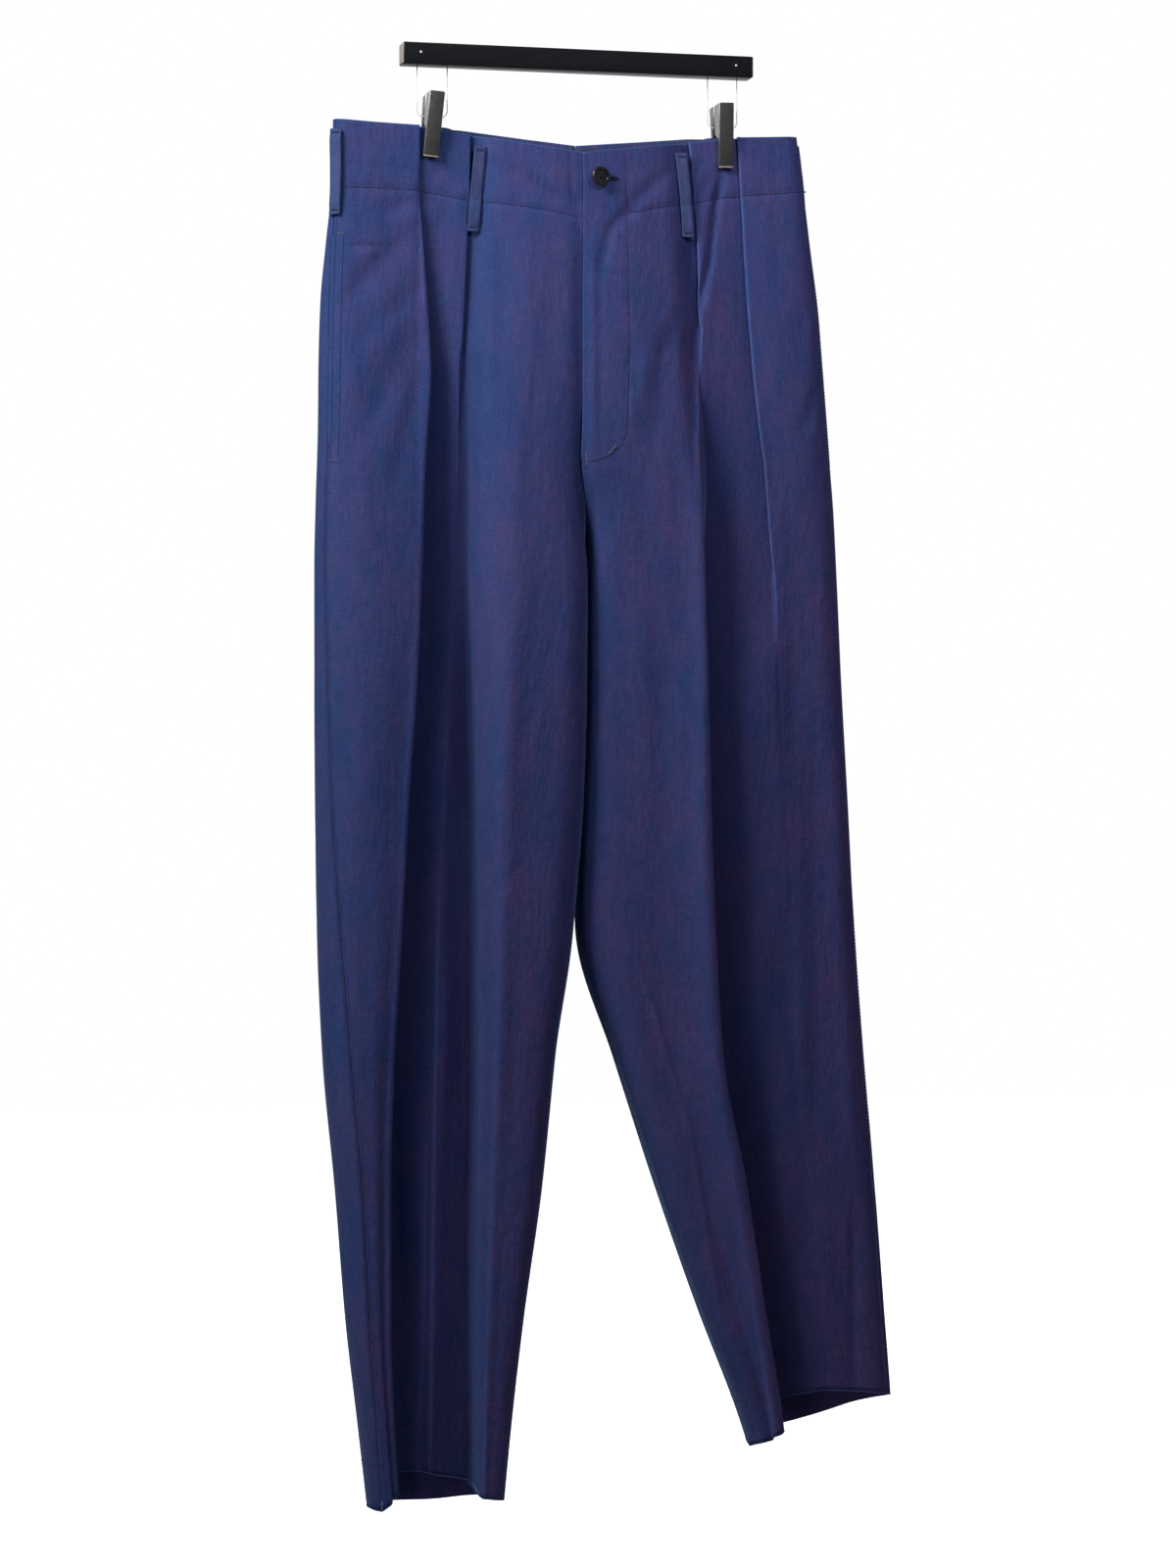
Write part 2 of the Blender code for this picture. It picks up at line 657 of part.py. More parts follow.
def build_facings(collection, mat):
    for leg, last in ((RIGHT, 6), (LEFT, 3)):
        is_left = leg is LEFT
        tops = column_heights(FRONT_CELLS, FRONT_ENDS, 0)
        hems = column_heights(FRONT_CELLS, FRONT_ENDS, HEM_COLUMN[leg.name])
        outer, clear = FRONT_CELLS[0][1], len(tops) - 1 - FRONT_CELLS[-2][1] - FRONT_CELLS[-3][1]
        places = list(range(1, outer + 1)) + [outer + 2] * 2 + [clear] * 2
        places += [clear + k for k in range(last + 1)]
        rows = []
        for part in FACING_ROWS:
            row = []
            for column, place in enumerate(places):
                z = mix(tops[place], hems[place], part)
                row.append(leg.point(*facing_point(leg, z, column), z))
            rows.append(row)
        sheet("facing_front_" + leg.name, rows, not is_left, CLOTH, collection, mat)
        behind = panel_rows(leg, leg.behind, BACK_CELLS, BACK_ENDS, FACING_ROWS)
        inside = moved(behind, (CLOTH + LAYER_GAP) * (-1.0 if is_left else 1.0))
        sheet("facing_back_" + leg.name, [row[1:] for row in inside], is_left, CLOTH,
              collection, mat)


# ---------------------------------------------------------------- fly
def fly_width(z):
    """The fly stitching runs straight down, then curves in to the lap edge."""
    over = (FLY_BOTTOM + FLY_CURVE - z) / FLY_CURVE
    if over <= 0.0:
        return FLY_WIDTH
    return 4.0 + (FLY_WIDTH - 4.0) * math.sqrt(max(0.0, 1.0 - over * over))


def along_lap(z, reaches, away):
    """Points at distances in from the left front's lap edge, moved behind it."""
    path, _ = smooth_path([point for _, point in LEFT.front(z)])
    path = path[::-1]
    tangent = Vector(path[0]) - Vector(path[3])
    path = [tuple(Vector(path[0]) + tangent.normalized() * 20.0)] + path
    points = []
    for reach in reaches:
        rest = trimmed(path, 20.0 + reach)
        run = Vector((rest[1][0] - rest[0][0], rest[1][1] - rest[0][1])).normalized()
        points.append(LEFT.point(rest[0][0] - run.y * away, rest[0][1] + run.x * away, z))
    return points


def build_fly(collection, mat):
    behind_lap = CLOTH + LAYER_GAP
    heights = [mix(-84.0, -296.0, k / 10) for k in range(11)]
    heights += [-304.0, -311.0, -316.0]
    rows = [along_lap(z, [mix(0.4, fly_width(z), k / 5) for k in range(6)],
                      behind_lap + FLY_SET_BACK * ease((-255.0 - z) / 45.0))
            for z in heights]
    sheet("fly_facing", rows, True, CLOTH, collection, mat)
    behind_right = 3.0 * CLOTH + 3.0 * LAYER_GAP + 0.1
    heights = [mix(-84.5, -276.0, k / 9) for k in range(10)]
    rows = [along_lap(z, [mix(-7.0, FLY_WIDTH + 2.0, k / 6) for k in range(7)], behind_right)
            for z in heights]
    sheet("fly_shield", rows, True, CLOTH, collection, mat)


# ---------------------------------------------------------------- side pockets
POCKET_ROWS = (0.0886, 0.103, 0.131, 0.160, 0.190, 0.218, 0.240)


def build_pockets(collection, mat):
    """Each facing bridges the open seam, from under the back to under the front."""
    for leg in (RIGHT, LEFT):
        is_left = leg is LEFT
        side = -1.0 if is_left else 1.0
        front = panel_rows(leg, leg.front, FRONT_CELLS, FRONT_ENDS, POCKET_ROWS)
        front = moved(front, -side * (CLOTH + LAYER_GAP))
        behind = panel_rows(leg, leg.behind, BACK_CELLS, BACK_ENDS, POCKET_ROWS)
        behind = moved(behind, side * (CLOTH + LAYER_GAP))
        rows = [b[3:0:-1] + f[1:6] for b, f in zip(behind, front)]
        sheet("pocket_facing_" + leg.name, rows, not is_left, CLOTH, collection, mat)


# ---------------------------------------------------------------- belt loops
# Each loop: leg, face, distance from the centre plane at its top and at its bottom
# (for a side loop, its place round the side turn in degrees), and its top's height.
LOOPS = (
    ("loop_front_right", RIGHT, "front", 78.4, 84.3, -77.5),
    ("loop_front_left", LEFT, "front", 81.2, 86.4, -77.0),
    ("loop_side_right", RIGHT, "side", 52, 50, -68.0),
    ("loop_side_left", LEFT, "side", 138, 136, -66.5),
    ("loop_back_right", RIGHT, "back", 96.0, 98.0, -73.0),
    ("loop_back_left", LEFT, "back", 96.0, 98.0, -73.0),
)


def loop_places(leg, face, top, bottom, z, part):
    """The middle of a loop's back at one height, and the way it faces."""
    place = mix(top, bottom, part)
    if face == "side":
        p, y, behind = leg.plan_at(z), leg.depth.at(z), leg.back.at(z)
        run = [leg.side_turn(p, y, behind, place + turn) for turn in (8, 0, -8)]
        out = inward(run, 1, -1.0)
        return run[1], (out[0] - run[1][0], out[1] - run[1][1])
    path, _ = smooth_path([point for _, point in (leg.front(z) if face == "front" else leg.behind(z))])
    near = [depth for distance, depth in path if abs(distance - place) < LOOP_WIDTH * 0.62]
    if face == "front":
        return (place, min(near)), (0.0, -1.0)
    return (place, max(near)), (0.0, 1.0)


def build_loops(collection, mat):
    count = 9
    for name, leg, face, top, bottom, start in LOOPS:
        rows = []
        for k in range(count + 1):
            part = k / count
            z = start - LOOP_LENGTH * part
            middle, facing = loop_places(leg, face, top, bottom, z, part)
            lift = 2.6 * ease(min(part, 1.0 - part) / 0.2)
            away = {"side": 0.35, "front": 0.85, "back": 0.6}[face] + lift
            row = []
            for side in (-0.5, 0.0, 0.5):
                across = side * LOOP_WIDTH
                row.append(leg.point(middle[0] + facing[0] * away - facing[1] * across,
                                     middle[1] + facing[1] * away + facing[0] * across, z))
            rows.append(row)
        sheet(name, rows, leg is LEFT, LOOP_THICKNESS, collection, mat, outward=True)
    rows = []
    for k in range(count + 1):
        part = k / count
        z = -76.0 - LOOP_LENGTH * part
        depth = BACK_SECTIONS.at(z)["edge"]
        lift = 2.6 * ease(min(part, 1.0 - part) / 0.2)
        rows.append([Vector((x * LOOP_WIDTH, depth + LAYER_GAP + lift, z))
                     for x in (-0.5, 0.0, 0.5)])
    sheet("loop_back_middle", rows, False, LOOP_THICKNESS, collection, mat, outward=True)


# ---------------------------------------------------------------- button
def build_button(collection, cutters, horn, thread):
    path, _ = smooth_path([point for _, point in LEFT.front(BUTTON_Z)])
    surface = min(path, key=lambda point: abs(point[0] - BUTTON_X))[1]
    r = BUTTON_DIAMETER / 2
    t = BUTTON_THICKNESS
    profile = [(0.0, 0.0), (r - 1.6, 0.0), (r - 0.4, 0.7), (r, 1.7), (r - 0.5, 2.8),
               (r - 1.4, t), (r - 2.3, 2.9), (r - 3.2, 2.1), (0.0, 1.9)]
    button = turned("button", profile, 24, collection, horn)
    bm = bmesh.new()
    for k in range(4):
        turn = math.radians(45.0 + 90.0 * k)
        place = Matrix.Translation(Vector((1.5 * math.cos(turn), 1.5 * math.sin(turn), t / 2)) * MM)
        bmesh.ops.create_cone(bm, cap_ends=True, segments=8, radius1=0.75 * MM,
                              radius2=0.75 * MM, depth=6.0 * MM, matrix=place)
    cutter = add_object("button_holes", mesh_from(bm, "button_holes"), cutters, None)
    cutter.hide_render = True
    cutter.display_type = "WIRE"
    holes = button.modifiers.new("Holes", "BOOLEAN")
    holes.operation = "DIFFERENCE"
    holes.solver = "EXACT"
    holes.object = cutter
    way = Matrix.Rotation(math.radians(90.0), 4, "X")
    facing = Matrix.Rotation(math.radians(BUTTON_TURN), 4, "Z")
    centre = Vector((BUTTON_X, surface - BUTTON_OFF, BUTTON_Z)) * MM
    button.matrix_world = Matrix.Translation(centre) @ facing @ way
    cutter.matrix_world = button.matrix_world
    length = BUTTON_OFF - 1.1
    outline = [(0.0, 0.0), (1.6, 0.0), (1.1, length / 2), (1.0, length), (0.0, length)]
    shank = turned("button_shank", outline, 12, collection, thread)
    shank.matrix_world = Matrix.Translation(Vector((BUTTON_X, surface - 0.4, BUTTON_Z)) * MM) @ way


# ---------------------------------------------------------------- hanger
# Each clip: side, X of its middle, and lean in degrees (its lower end towards -X).
CLIPS = (
    ("right", -114.6, 4.6),
    ("left", 116.2, -1.6),
)


def jaw(name, facing, collection, mat):
    """Half a clip: a folded channel, open towards the cloth, narrow at its grip."""
    half = CLIP_WIDTH / 2
    grip = facing * CLIP_GRIP
    meet = facing * (BAIL_WIRE / 2 + LAYER_GAP)
    side = ((facing * CLIP_REACH_TOP, CLIP_TOP), (facing * CLIP_REACH_LOW, CLIP_BOTTOM),
            (grip, CLIP_BOTTOM), (grip, CLIP_PIVOT - 8.0),
            (meet, CLIP_PIVOT - 5.0), (meet, CLIP_TOP))
    bm = bmesh.new()
    edges = [[bm.verts.new(Vector((x, y, z)) * MM) for y, z in side] for x in (-half, half)]
    low, high = edges
    bm.faces.new(low)
    bm.faces.new(high[::-1])
    for a, b in ((0, 1), (1, 2), (5, 0)):
        bm.faces.new((low[b], low[a], high[a], high[b]))
    if facing > 0.0:
        bmesh.ops.reverse_faces(bm, faces=bm.faces)
    made = add_object(name, mesh_from(bm, name), collection, mat)
    wall = made.modifiers.new("Thickness", "SOLIDIFY")
    wall.thickness = JAW_WALL * MM
    wall.offset = -1.0
    wall.use_even_offset = True
    return made


def bail(name, centre, collection, mat):
    """A wire bent to a U, its legs in the bar and its foot through the clip."""
    wire = bpy.data.curves.new(name, "CURVE")
    wire.dimensions = "3D"
    wire.bevel_depth = BAIL_WIRE / 2 * MM
    wire.bevel_resolution = 2
    wire.use_fill_caps = True
    legs, corner = BAIL_HALF_WIDTH, 4.0
    points = []
    for side in (-1.0, 1.0):
        bend = []
        for k in range(5):
            turn = math.radians(22.5 * k)
            bend.append((side * (legs - corner * (1.0 - math.cos(turn))),
                         CLIP_PIVOT + corner * (1.0 - math.sin(turn))))
        leg_points = [(side * legs, -BAR_HEIGHT - 0.3)] + bend
        points += leg_points if side < 0.0 else leg_points[::-1]
    line = wire.splines.new("POLY")
    line.points.add(len(points) - 1)
    for spot, (x, z) in zip(line.points, points):
        spot.co = ((centre + x) * MM, CLIP_MIDDLE * MM, z * MM, 1.0)
    made = bpy.data.objects.new(name, wire)
    wire.materials.append(mat)
    collection.objects.link(made)
    return made


def build_hanger(collection, bar_mat, metal):
    block("hanger_bar", (BAR_LENGTH, BAR_DEPTH, BAR_HEIGHT), (0.0, 0.0, -BAR_HEIGHT / 2), 0.8,
          collection, bar_mat)
    for name, centre, lean in CLIPS:
        pivot = Matrix.Translation(Vector((centre, CLIP_MIDDLE, CLIP_PIVOT)) * MM)
        tilt = pivot @ Matrix.Rotation(math.radians(lean), 4, "Y")
        tilt = tilt @ Matrix.Translation(Vector((0.0, 0.0, -CLIP_PIVOT)) * MM)
        jaw("clip_%s_front" % name, -1.0, collection, metal).matrix_world = tilt
        jaw("clip_%s_back" % name, 1.0, collection, metal).matrix_world = tilt
        bail("bail_" + name, centre, collection, metal)


def main():
    clear_scene()
    trousers = new_collection("pleated_trousers_on_hanger")
    cutters = new_collection("cutters")
    cloth = material("shot_cotton", (0.13, 0.15, 0.36), 0.85)
    inside = material("inner_cotton", (0.10, 0.11, 0.25), 0.9)
    horn = material("horn_button", (0.08, 0.08, 0.12), 0.35)
    thread = material("thread", (0.12, 0.13, 0.32), 0.9)
    bar = material("black_bar", (0.015, 0.015, 0.017), 0.3)
    metal = material("brushed_metal", (0.55, 0.55, 0.54), 0.35, 1.0)
    build_panels(trousers, cloth)
    build_facings(trousers, inside)
    build_fly(trousers, inside)
    build_pockets(trousers, inside)
    build_loops(trousers, cloth)
    build_button(trousers, cutters, horn, thread)
    build_hanger(trousers, bar, metal)


main()
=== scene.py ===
# %% [markdown]
# # Pleated dress trousers on a clip hanger
#
# The lesson dresses a finished set of solids as a real pair of trousers.  The solids give
# the size and the place of every piece, and they are loaded as a fixed frame.  The cloth is
# then made again as fine, thin sheets on the same sections, with the soft creases, the
# stitches and the shot weave that a rigid solid can't carry.
# Lengths are in millimetres in the tables and in metres in the scene.  +X is the wearer's
# left, -Y the front and +Z up, with the origin on the middle of the hanger bar's top.

# %% Load the frame
import math

import bmesh
import bpy
import numpy as np
from mathutils import Matrix, Vector


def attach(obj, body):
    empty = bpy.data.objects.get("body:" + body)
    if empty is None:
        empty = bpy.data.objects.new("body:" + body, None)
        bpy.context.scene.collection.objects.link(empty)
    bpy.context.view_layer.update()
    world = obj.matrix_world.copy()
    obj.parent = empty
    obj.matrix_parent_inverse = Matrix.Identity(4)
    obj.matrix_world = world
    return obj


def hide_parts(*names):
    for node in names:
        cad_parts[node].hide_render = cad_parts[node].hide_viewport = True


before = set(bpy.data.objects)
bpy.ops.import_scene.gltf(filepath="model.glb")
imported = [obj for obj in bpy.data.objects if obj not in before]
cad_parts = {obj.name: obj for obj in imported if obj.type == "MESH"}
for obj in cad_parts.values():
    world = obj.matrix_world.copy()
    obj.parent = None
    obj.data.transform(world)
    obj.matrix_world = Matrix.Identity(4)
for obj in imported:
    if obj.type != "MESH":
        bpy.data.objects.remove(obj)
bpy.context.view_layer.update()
MM = 0.001
BODY = "root"

# %% [markdown]
# ## Helpers for nodes
# A material is easier to read as a sum than as a web of wires.  Each helper makes one node,
# sets what is fixed, links what comes from another node, and hands on its output.

# %% Node helpers
def fill(tree, socket, value):
    """Links another node's output to a socket, or sets a plain value or colour there."""
    if isinstance(value, bpy.types.NodeSocket):
        tree.links.new(value, socket)
    else:
        socket.default_value = (*value, 1.0) if socket.type == "RGBA" else value


def feed(tree, made, **inputs):
    """Fills a node's inputs by name, with _ for a space."""
    for name, value in inputs.items():
        fill(tree, made.inputs[name.replace("_", " ")], value)
    return made


def new_node(tree, kind, **inputs):
    return feed(tree, tree.nodes.new(kind), **inputs)


def noise_of(tree, vector, scale, detail=2.0, rough=0.5):
    """A noise pattern over a vector, as a value from 0 to 1."""
    return new_node(tree, "ShaderNodeTexNoise", Vector=vector, Scale=scale, Detail=detail,
                    Roughness=rough).outputs["Fac"]


def stretched(tree, vector, scale):
    return new_node(tree, "ShaderNodeMapping", Vector=vector, Scale=scale).outputs["Vector"]


def span(tree, value, low, high, to_low=0.0, to_high=1.0):
    """A value taken from one range to another, and held at its ends."""
    return new_node(tree, "ShaderNodeMapRange", Value=value, From_Min=low, From_Max=high,
                    To_Min=to_low, To_Max=to_high).outputs["Result"]


def sum_of(tree, a, b, how="ADD"):
    made = tree.nodes.new("ShaderNodeMath")
    made.operation = how
    for socket, value in zip(made.inputs, (a, b)):
        fill(tree, socket, value)
    return made.outputs["Value"]


def shares_of(tree, a, share_a, b, share_b):
    """Two values added, each by its own share."""
    return sum_of(tree, sum_of(tree, a, share_a, "MULTIPLY"), sum_of(tree, b, share_b, "MULTIPLY"))


def stronger(tree, value, strength):
    """A value pushed away from the middle, 0.5."""
    centred = sum_of(tree, value, 0.5, "SUBTRACT")
    return sum_of(tree, sum_of(tree, centred, strength, "MULTIPLY"), 0.5)


def blended(tree, part, a, b, how="MIX"):
    """Colour a where part is 0 and colour b where it is 1; MULTIPLY tints a by b instead."""
    made = tree.nodes.new("ShaderNodeMix")
    made.data_type, made.blend_type = "RGBA", how
    return feed(tree, made, Factor=part, A=a, B=b).outputs["Result"]


def bumped(tree, height, strength, distance):
    return new_node(tree, "ShaderNodeBump", Height=height, Strength=strength,
                    Distance=distance).outputs["Normal"]


def parts_of(tree, vector):
    """The X, Y and Z of a vector, by name."""
    return new_node(tree, "ShaderNodeSeparateXYZ", Vector=vector).outputs


def new_finish(name):
    """A new material; returns it with its node tree and its shader."""
    finish = bpy.data.materials.new(name)
    finish.use_nodes = True
    return finish, finish.node_tree, finish.node_tree.nodes["Principled BSDF"]


print("node helpers ready")

# %% [markdown]
# ## Camera and light
# A long lens three metres away keeps the legs nearly free of perspective.  The camera
# stands a little to the wearer's right, level with the thighs.  Light decides how well folds
# read: a soft panel high on the wearer's right rakes across the cloth, so every fold has a
# lit and a shaded flank.  A weak panel in front opens the shade at the waist, another low
# down lifts the hems, one behind the wearer's left draws that edge, one far behind
# lights the back, and the sky adds almost nothing.  Where the lens looks at the sky it
# is white, for a clean ground, and polished metal mirrors it as a dim room with a bright
# wall behind the garment.

# %% Camera
camera_data = bpy.data.cameras.new("studio_camera")
camera_data.lens = 88.8
camera_data.sensor_width = 36.0
camera = bpy.data.objects.new("studio_camera", camera_data)
camera.location = (-0.6669, -2.9245, -0.5685)
camera.rotation_euler = (math.radians(90.0), 0.0, math.radians(-13.0))
bpy.context.scene.collection.objects.link(camera)
bpy.context.scene.camera = camera
print("camera stands at", tuple(round(v, 3) for v in camera.location))

# %% Studio light
WARM, WHITE, COOL = (1.0, 0.985, 0.97), (1.0, 1.0, 1.0), (0.97, 0.98, 1.0)
# Each row: name, place, what it is turned towards, width and height, watts, colour and
# whether polished metal mirrors it.
LIGHTS = (
    ("key_panel", (-1.1, -0.6, 0.6), (0.0, 0.0, -0.25), (0.45, 0.45), 20.5, WARM, True),
    ("waist_panel", (0.20, -0.75, 0.25), (0.08, 0.0, -0.18), (0.4, 0.25), 3.4, WHITE, False),
    ("low_panel", (-1.2, -1.5, -0.9), (0.0, 0.0, -1.05), (0.5, 0.5), 3.0, COOL, False),
    ("edge_panel", (1.2, 0.30, -1.15), (0.2, 0.0, -1.05), (0.3, 0.6), 3.0, COOL, False),
    ("back_panel", (0.5, 1.6, 0.2), (0.0, 0.0, -0.5), (0.9, 0.9), 16.0, WHITE, False),
)
for name, place, aim, size, watts, colour, mirrored in LIGHTS:
    data = bpy.data.lights.new(name, "AREA")
    data.shape = "RECTANGLE"
    data.size, data.size_y = size
    data.energy, data.color = watts, colour
    lamp = bpy.data.objects.new(name, data)
    lamp.location = place
    lamp.rotation_euler = (Vector(aim) - Vector(place)).to_track_quat("-Z", "Y").to_euler()
    lamp.visible_glossy = mirrored
    bpy.context.scene.collection.objects.link(lamp)
print("lights:", [row[0] for row in LIGHTS])


# %% Sky
def backdrop(tree, colour, strength):
    made = new_node(tree, "ShaderNodeBackground", Color=colour, Strength=strength)
    return made.outputs["Background"]


def either(tree, switch, off, on):
    """One shader where a switch is 0 and another where it is 1."""
    made = tree.nodes.new("ShaderNodeMixShader")
    for socket, value in zip(made.inputs, (switch, off, on)):
        fill(tree, socket, value)
    return made.outputs["Shader"]


FRONT_WALL, BACK_WALL = 0.12, 0.90      # how bright the mirrored room is on either side
sky = bpy.data.worlds.new("white_studio")
sky.use_nodes = True
tree = sky.node_tree
tree.nodes.clear()
ray = tree.nodes.new("ShaderNodeLightPath")
way = parts_of(tree, tree.nodes.new("ShaderNodeTexCoord").outputs["Generated"])
walls = span(tree, way["Y"], 0.0, 0.8, FRONT_WALL, BACK_WALL)
room = either(tree, ray.outputs["Is Glossy Ray"], backdrop(tree, (0.93, 0.95, 1.0), 0.025),
              backdrop(tree, (0.8, 0.8, 0.8), walls))
seen = either(tree, ray.outputs["Is Camera Ray"], room, backdrop(tree, (1.0, 1.0, 1.0), 1.0))
new_node(tree, "ShaderNodeOutputWorld", Surface=seen)
bpy.context.scene.world = sky
bpy.context.scene.view_settings.view_transform = "Standard"
print("sky:", len(tree.nodes), "nodes")

# %% [markdown]
# ## Shot cotton
# Shot cotton is woven with two colours: here a blue yarn crosses a purple one, so the cloth
# shifts between them as it turns.  The yarn is spun unevenly, and its thick places, the
# slubs, show as fine upright streaks.  An image could carry this, but a node pattern has no
# edges and no fixed sharpness, so two shared node groups are built: one for the streaks and
# the small relief of the weave, one for the slow blotches that washing leaves.

# %% Slubby weave group
def new_group(name, inputs, outputs):
    """A shader node group with named sockets; returns the group and its two end nodes."""
    group = bpy.data.node_groups.new(name, "ShaderNodeTree")
    for socket, kind, value in inputs:
        made = group.interface.new_socket(socket, in_out="INPUT", socket_type=kind)
        if value is not None:
            made.default_value = value
    for socket in outputs:
        group.interface.new_socket(socket, in_out="OUTPUT", socket_type="NodeSocketFloat")
    return group, group.nodes.new("NodeGroupInput"), group.nodes.new("NodeGroupOutput")


weave, weave_in, weave_out = new_group(
    "slubby weave",
    [("Grain", "NodeSocketVector", None), ("Slub Strength", "NodeSocketFloat", 1.0)],
    ["Streaks", "Crossings", "Relief"],
)


def woven(across, along, detail, rough=0.5):
    """Noise that is this fine across and along the cloth."""
    grain = stretched(weave, weave_in.outputs["Grain"], (across, along, 1))
    return noise_of(weave, grain, 1.0, detail, rough)


# Each row: fineness across and along the cloth, detail, share of the whole.
SLUBS = (
    (1100, 55, 2.0, 0.27),      # long warp slubs
    (1500, 260, 1.0, 0.25),     # short warp slubs
    (75, 1300, 2.0, 0.28),      # long weft slubs
    (300, 1600, 1.0, 0.20),     # short weft slubs
)
slubs = [sum_of(weave, span(weave, woven(across, along, detail), 0.30, 0.72), share, "MULTIPLY")
         for across, along, detail, share in SLUBS]
all_slubs = sum_of(weave, sum_of(weave, *slubs[:2]), sum_of(weave, *slubs[2:]))
specks = woven(700, 620, 2.0, 0.7)
crumple, drag = woven(150, 90, 3.0, 0.6), woven(75, 11, 3.0, 0.65)
soft_relief = shares_of(weave, crumple, 0.8, drag, 1.3)
feed(weave, weave_out,
     Streaks=stronger(weave, all_slubs, weave_in.outputs["Slub Strength"]),
     Crossings=span(weave, specks, 0.34, 0.68),
     Relief=sum_of(weave, sum_of(weave, all_slubs, 0.25, "MULTIPLY"), soft_relief))
print("group:", weave.name, len(weave.nodes), "nodes")

# %% Washed blotches group
blotch, blotch_in, blotch_out = new_group(
    "washed blotches",
    [("Place", "NodeSocketVector", None), ("Strength", "NodeSocketFloat", 1.0)],
    ["Mottle"],
)
wide_marks, small_marks = [
    noise_of(blotch, stretched(blotch, blotch_in.outputs["Place"], (1, 1, tall)), scale, 3.0, 0.6)
    for tall, scale in ((0.5, 16.0), (0.45, 75.0))
]
both_marks = span(blotch, shares_of(blotch, wide_marks, 0.5, small_marks, 0.5), 0.34, 0.66)
feed(blotch, blotch_out, Mottle=stronger(blotch, both_marks, blotch_in.outputs["Strength"]))
print("group:", blotch.name, len(blotch.nodes), "nodes")


# %% The cotton itself
BLUE_YARN = (0.030, 0.064, 0.215)
PURPLE_YARN = (0.070, 0.043, 0.155)
SHEEN_TINT = (0.30, 0.50, 1.0)


def grouped(tree, group, **inputs):
    made = tree.nodes.new("ShaderNodeGroup")
    made.node_tree = group
    return feed(tree, made, **inputs).outputs


def mark_of(tree, name):
    """A value kept for each point of a piece; where a piece has none it reads as 0."""
    made = tree.nodes.new("ShaderNodeAttribute")
    made.attribute_name = name
    return made.outputs["Fac"]


def shot_cotton(name, slub=1.0, blue=BLUE_YARN, purple=PURPLE_YARN, relief=1.0):
    """Two-coloured cotton: the streaks and the blotches mix its yarns, and the side it faces mixes
    them as painted shade; folds are painted darker and sharp edges lighter.
    """
    finish, tree, shader = new_finish(name)
    grain = tree.nodes.new("ShaderNodeUVMap")
    grain.uv_map = "grain"
    spot = tree.nodes.new("ShaderNodeTexCoord").outputs
    yarns = grouped(tree, weave, Slub_Strength=slub, Grain=grain.outputs["UV"])
    wash = grouped(tree, blotch, Place=spot["Object"])
    place = parts_of(tree, spot["Object"])
    # The mix leans to the purple yarn where the cloth faces the wearer's left, away from the key
    # panel: painted shade, the shot colour of the turned-away sides fixed to the cloth.  It also
    # leans purple lower down and further to the wearer's left, and the blotches and the
    # crossings of the weave shift it both ways.
    shift = span(tree, parts_of(tree, spot["Normal"])["X"], -0.7, 0.8, 0.0, 0.45)
    for part in (span(tree, place["Z"], -0.25, -1.1, 0.0, 0.22),
                 span(tree, place["X"], -0.2, 0.25, 0.0, 0.22),
                 span(tree, wash["Mottle"], 0.0, 1.0, -0.26, 0.40),
                 span(tree, yarns["Crossings"], 0.0, 1.0, -0.28, 0.34)):
        shift = sum_of(tree, shift, part)
    colour = blended(tree, shift, blue, purple)
    # Cloth deep in a fold is painted darker by this tint, as painted shade.
    fold_shade_tint = blended(tree, mark_of(tree, "fold"), (1.0, 1.0, 1.0), (0.56, 0.61, 0.68))
    streaks = span(tree, yarns["Streaks"], 0.1, 0.95)
    # The last tint paints sharp outward turns lighter and bluer: partly wear on the pressed edges,
    # partly a painted highlight.
    for tint in (blended(tree, streaks, (0.66, 0.67, 0.73), (1.40, 1.37, 1.28)),
                 blended(tree, wash["Mottle"], (0.83, 0.84, 0.88), (1.18, 1.17, 1.13)),
                 blended(tree, mark_of(tree, "pressed"), fold_shade_tint, (1.55, 1.80, 1.65))):
        colour = blended(tree, 1.0, colour, tint, "MULTIPLY")
    feed(tree, shader, Base_Color=colour,
         Roughness=span(tree, yarns["Streaks"], 0.0, 1.0, 0.92, 0.74),
         Normal=bumped(tree, yarns["Relief"], 0.55 * relief, 0.0018),
         Specular_IOR_Level=0.25, Sheen_Weight=0.35, Sheen_Roughness=0.35,
         Sheen_Tint=SHEEN_TINT)
    return finish


cotton = shot_cotton("shot_cotton")
# The inner pieces get the same cotton with darker yarns: painted shade for cloth that lies behind
# the panels.
inner_cotton = shot_cotton("inner_cotton", 0.8, (0.030, 0.052, 0.150), (0.050, 0.038, 0.115))
print("cotton finishes:", cotton.name, inner_cotton.name)

# %% [markdown]
# ## The sections of the legs
# Each leg is described by sections at fixed heights, the same ones that its solids were
# lofted from.  A table row holds distances outward from the centre plane and depths, and the
# columns run smoothly between the rows.  A pleat is a cloth edge that turns back outward at
# one place and in again at another; where it has no lap left it lies open as a slope.
# Repeating the tables here, with many more rows and columns of cells, gives a fine sheet
# that lies exactly where the solid lies.

# %% Section tables
SEAM_GAP = 0.5          # between two panels at a seam
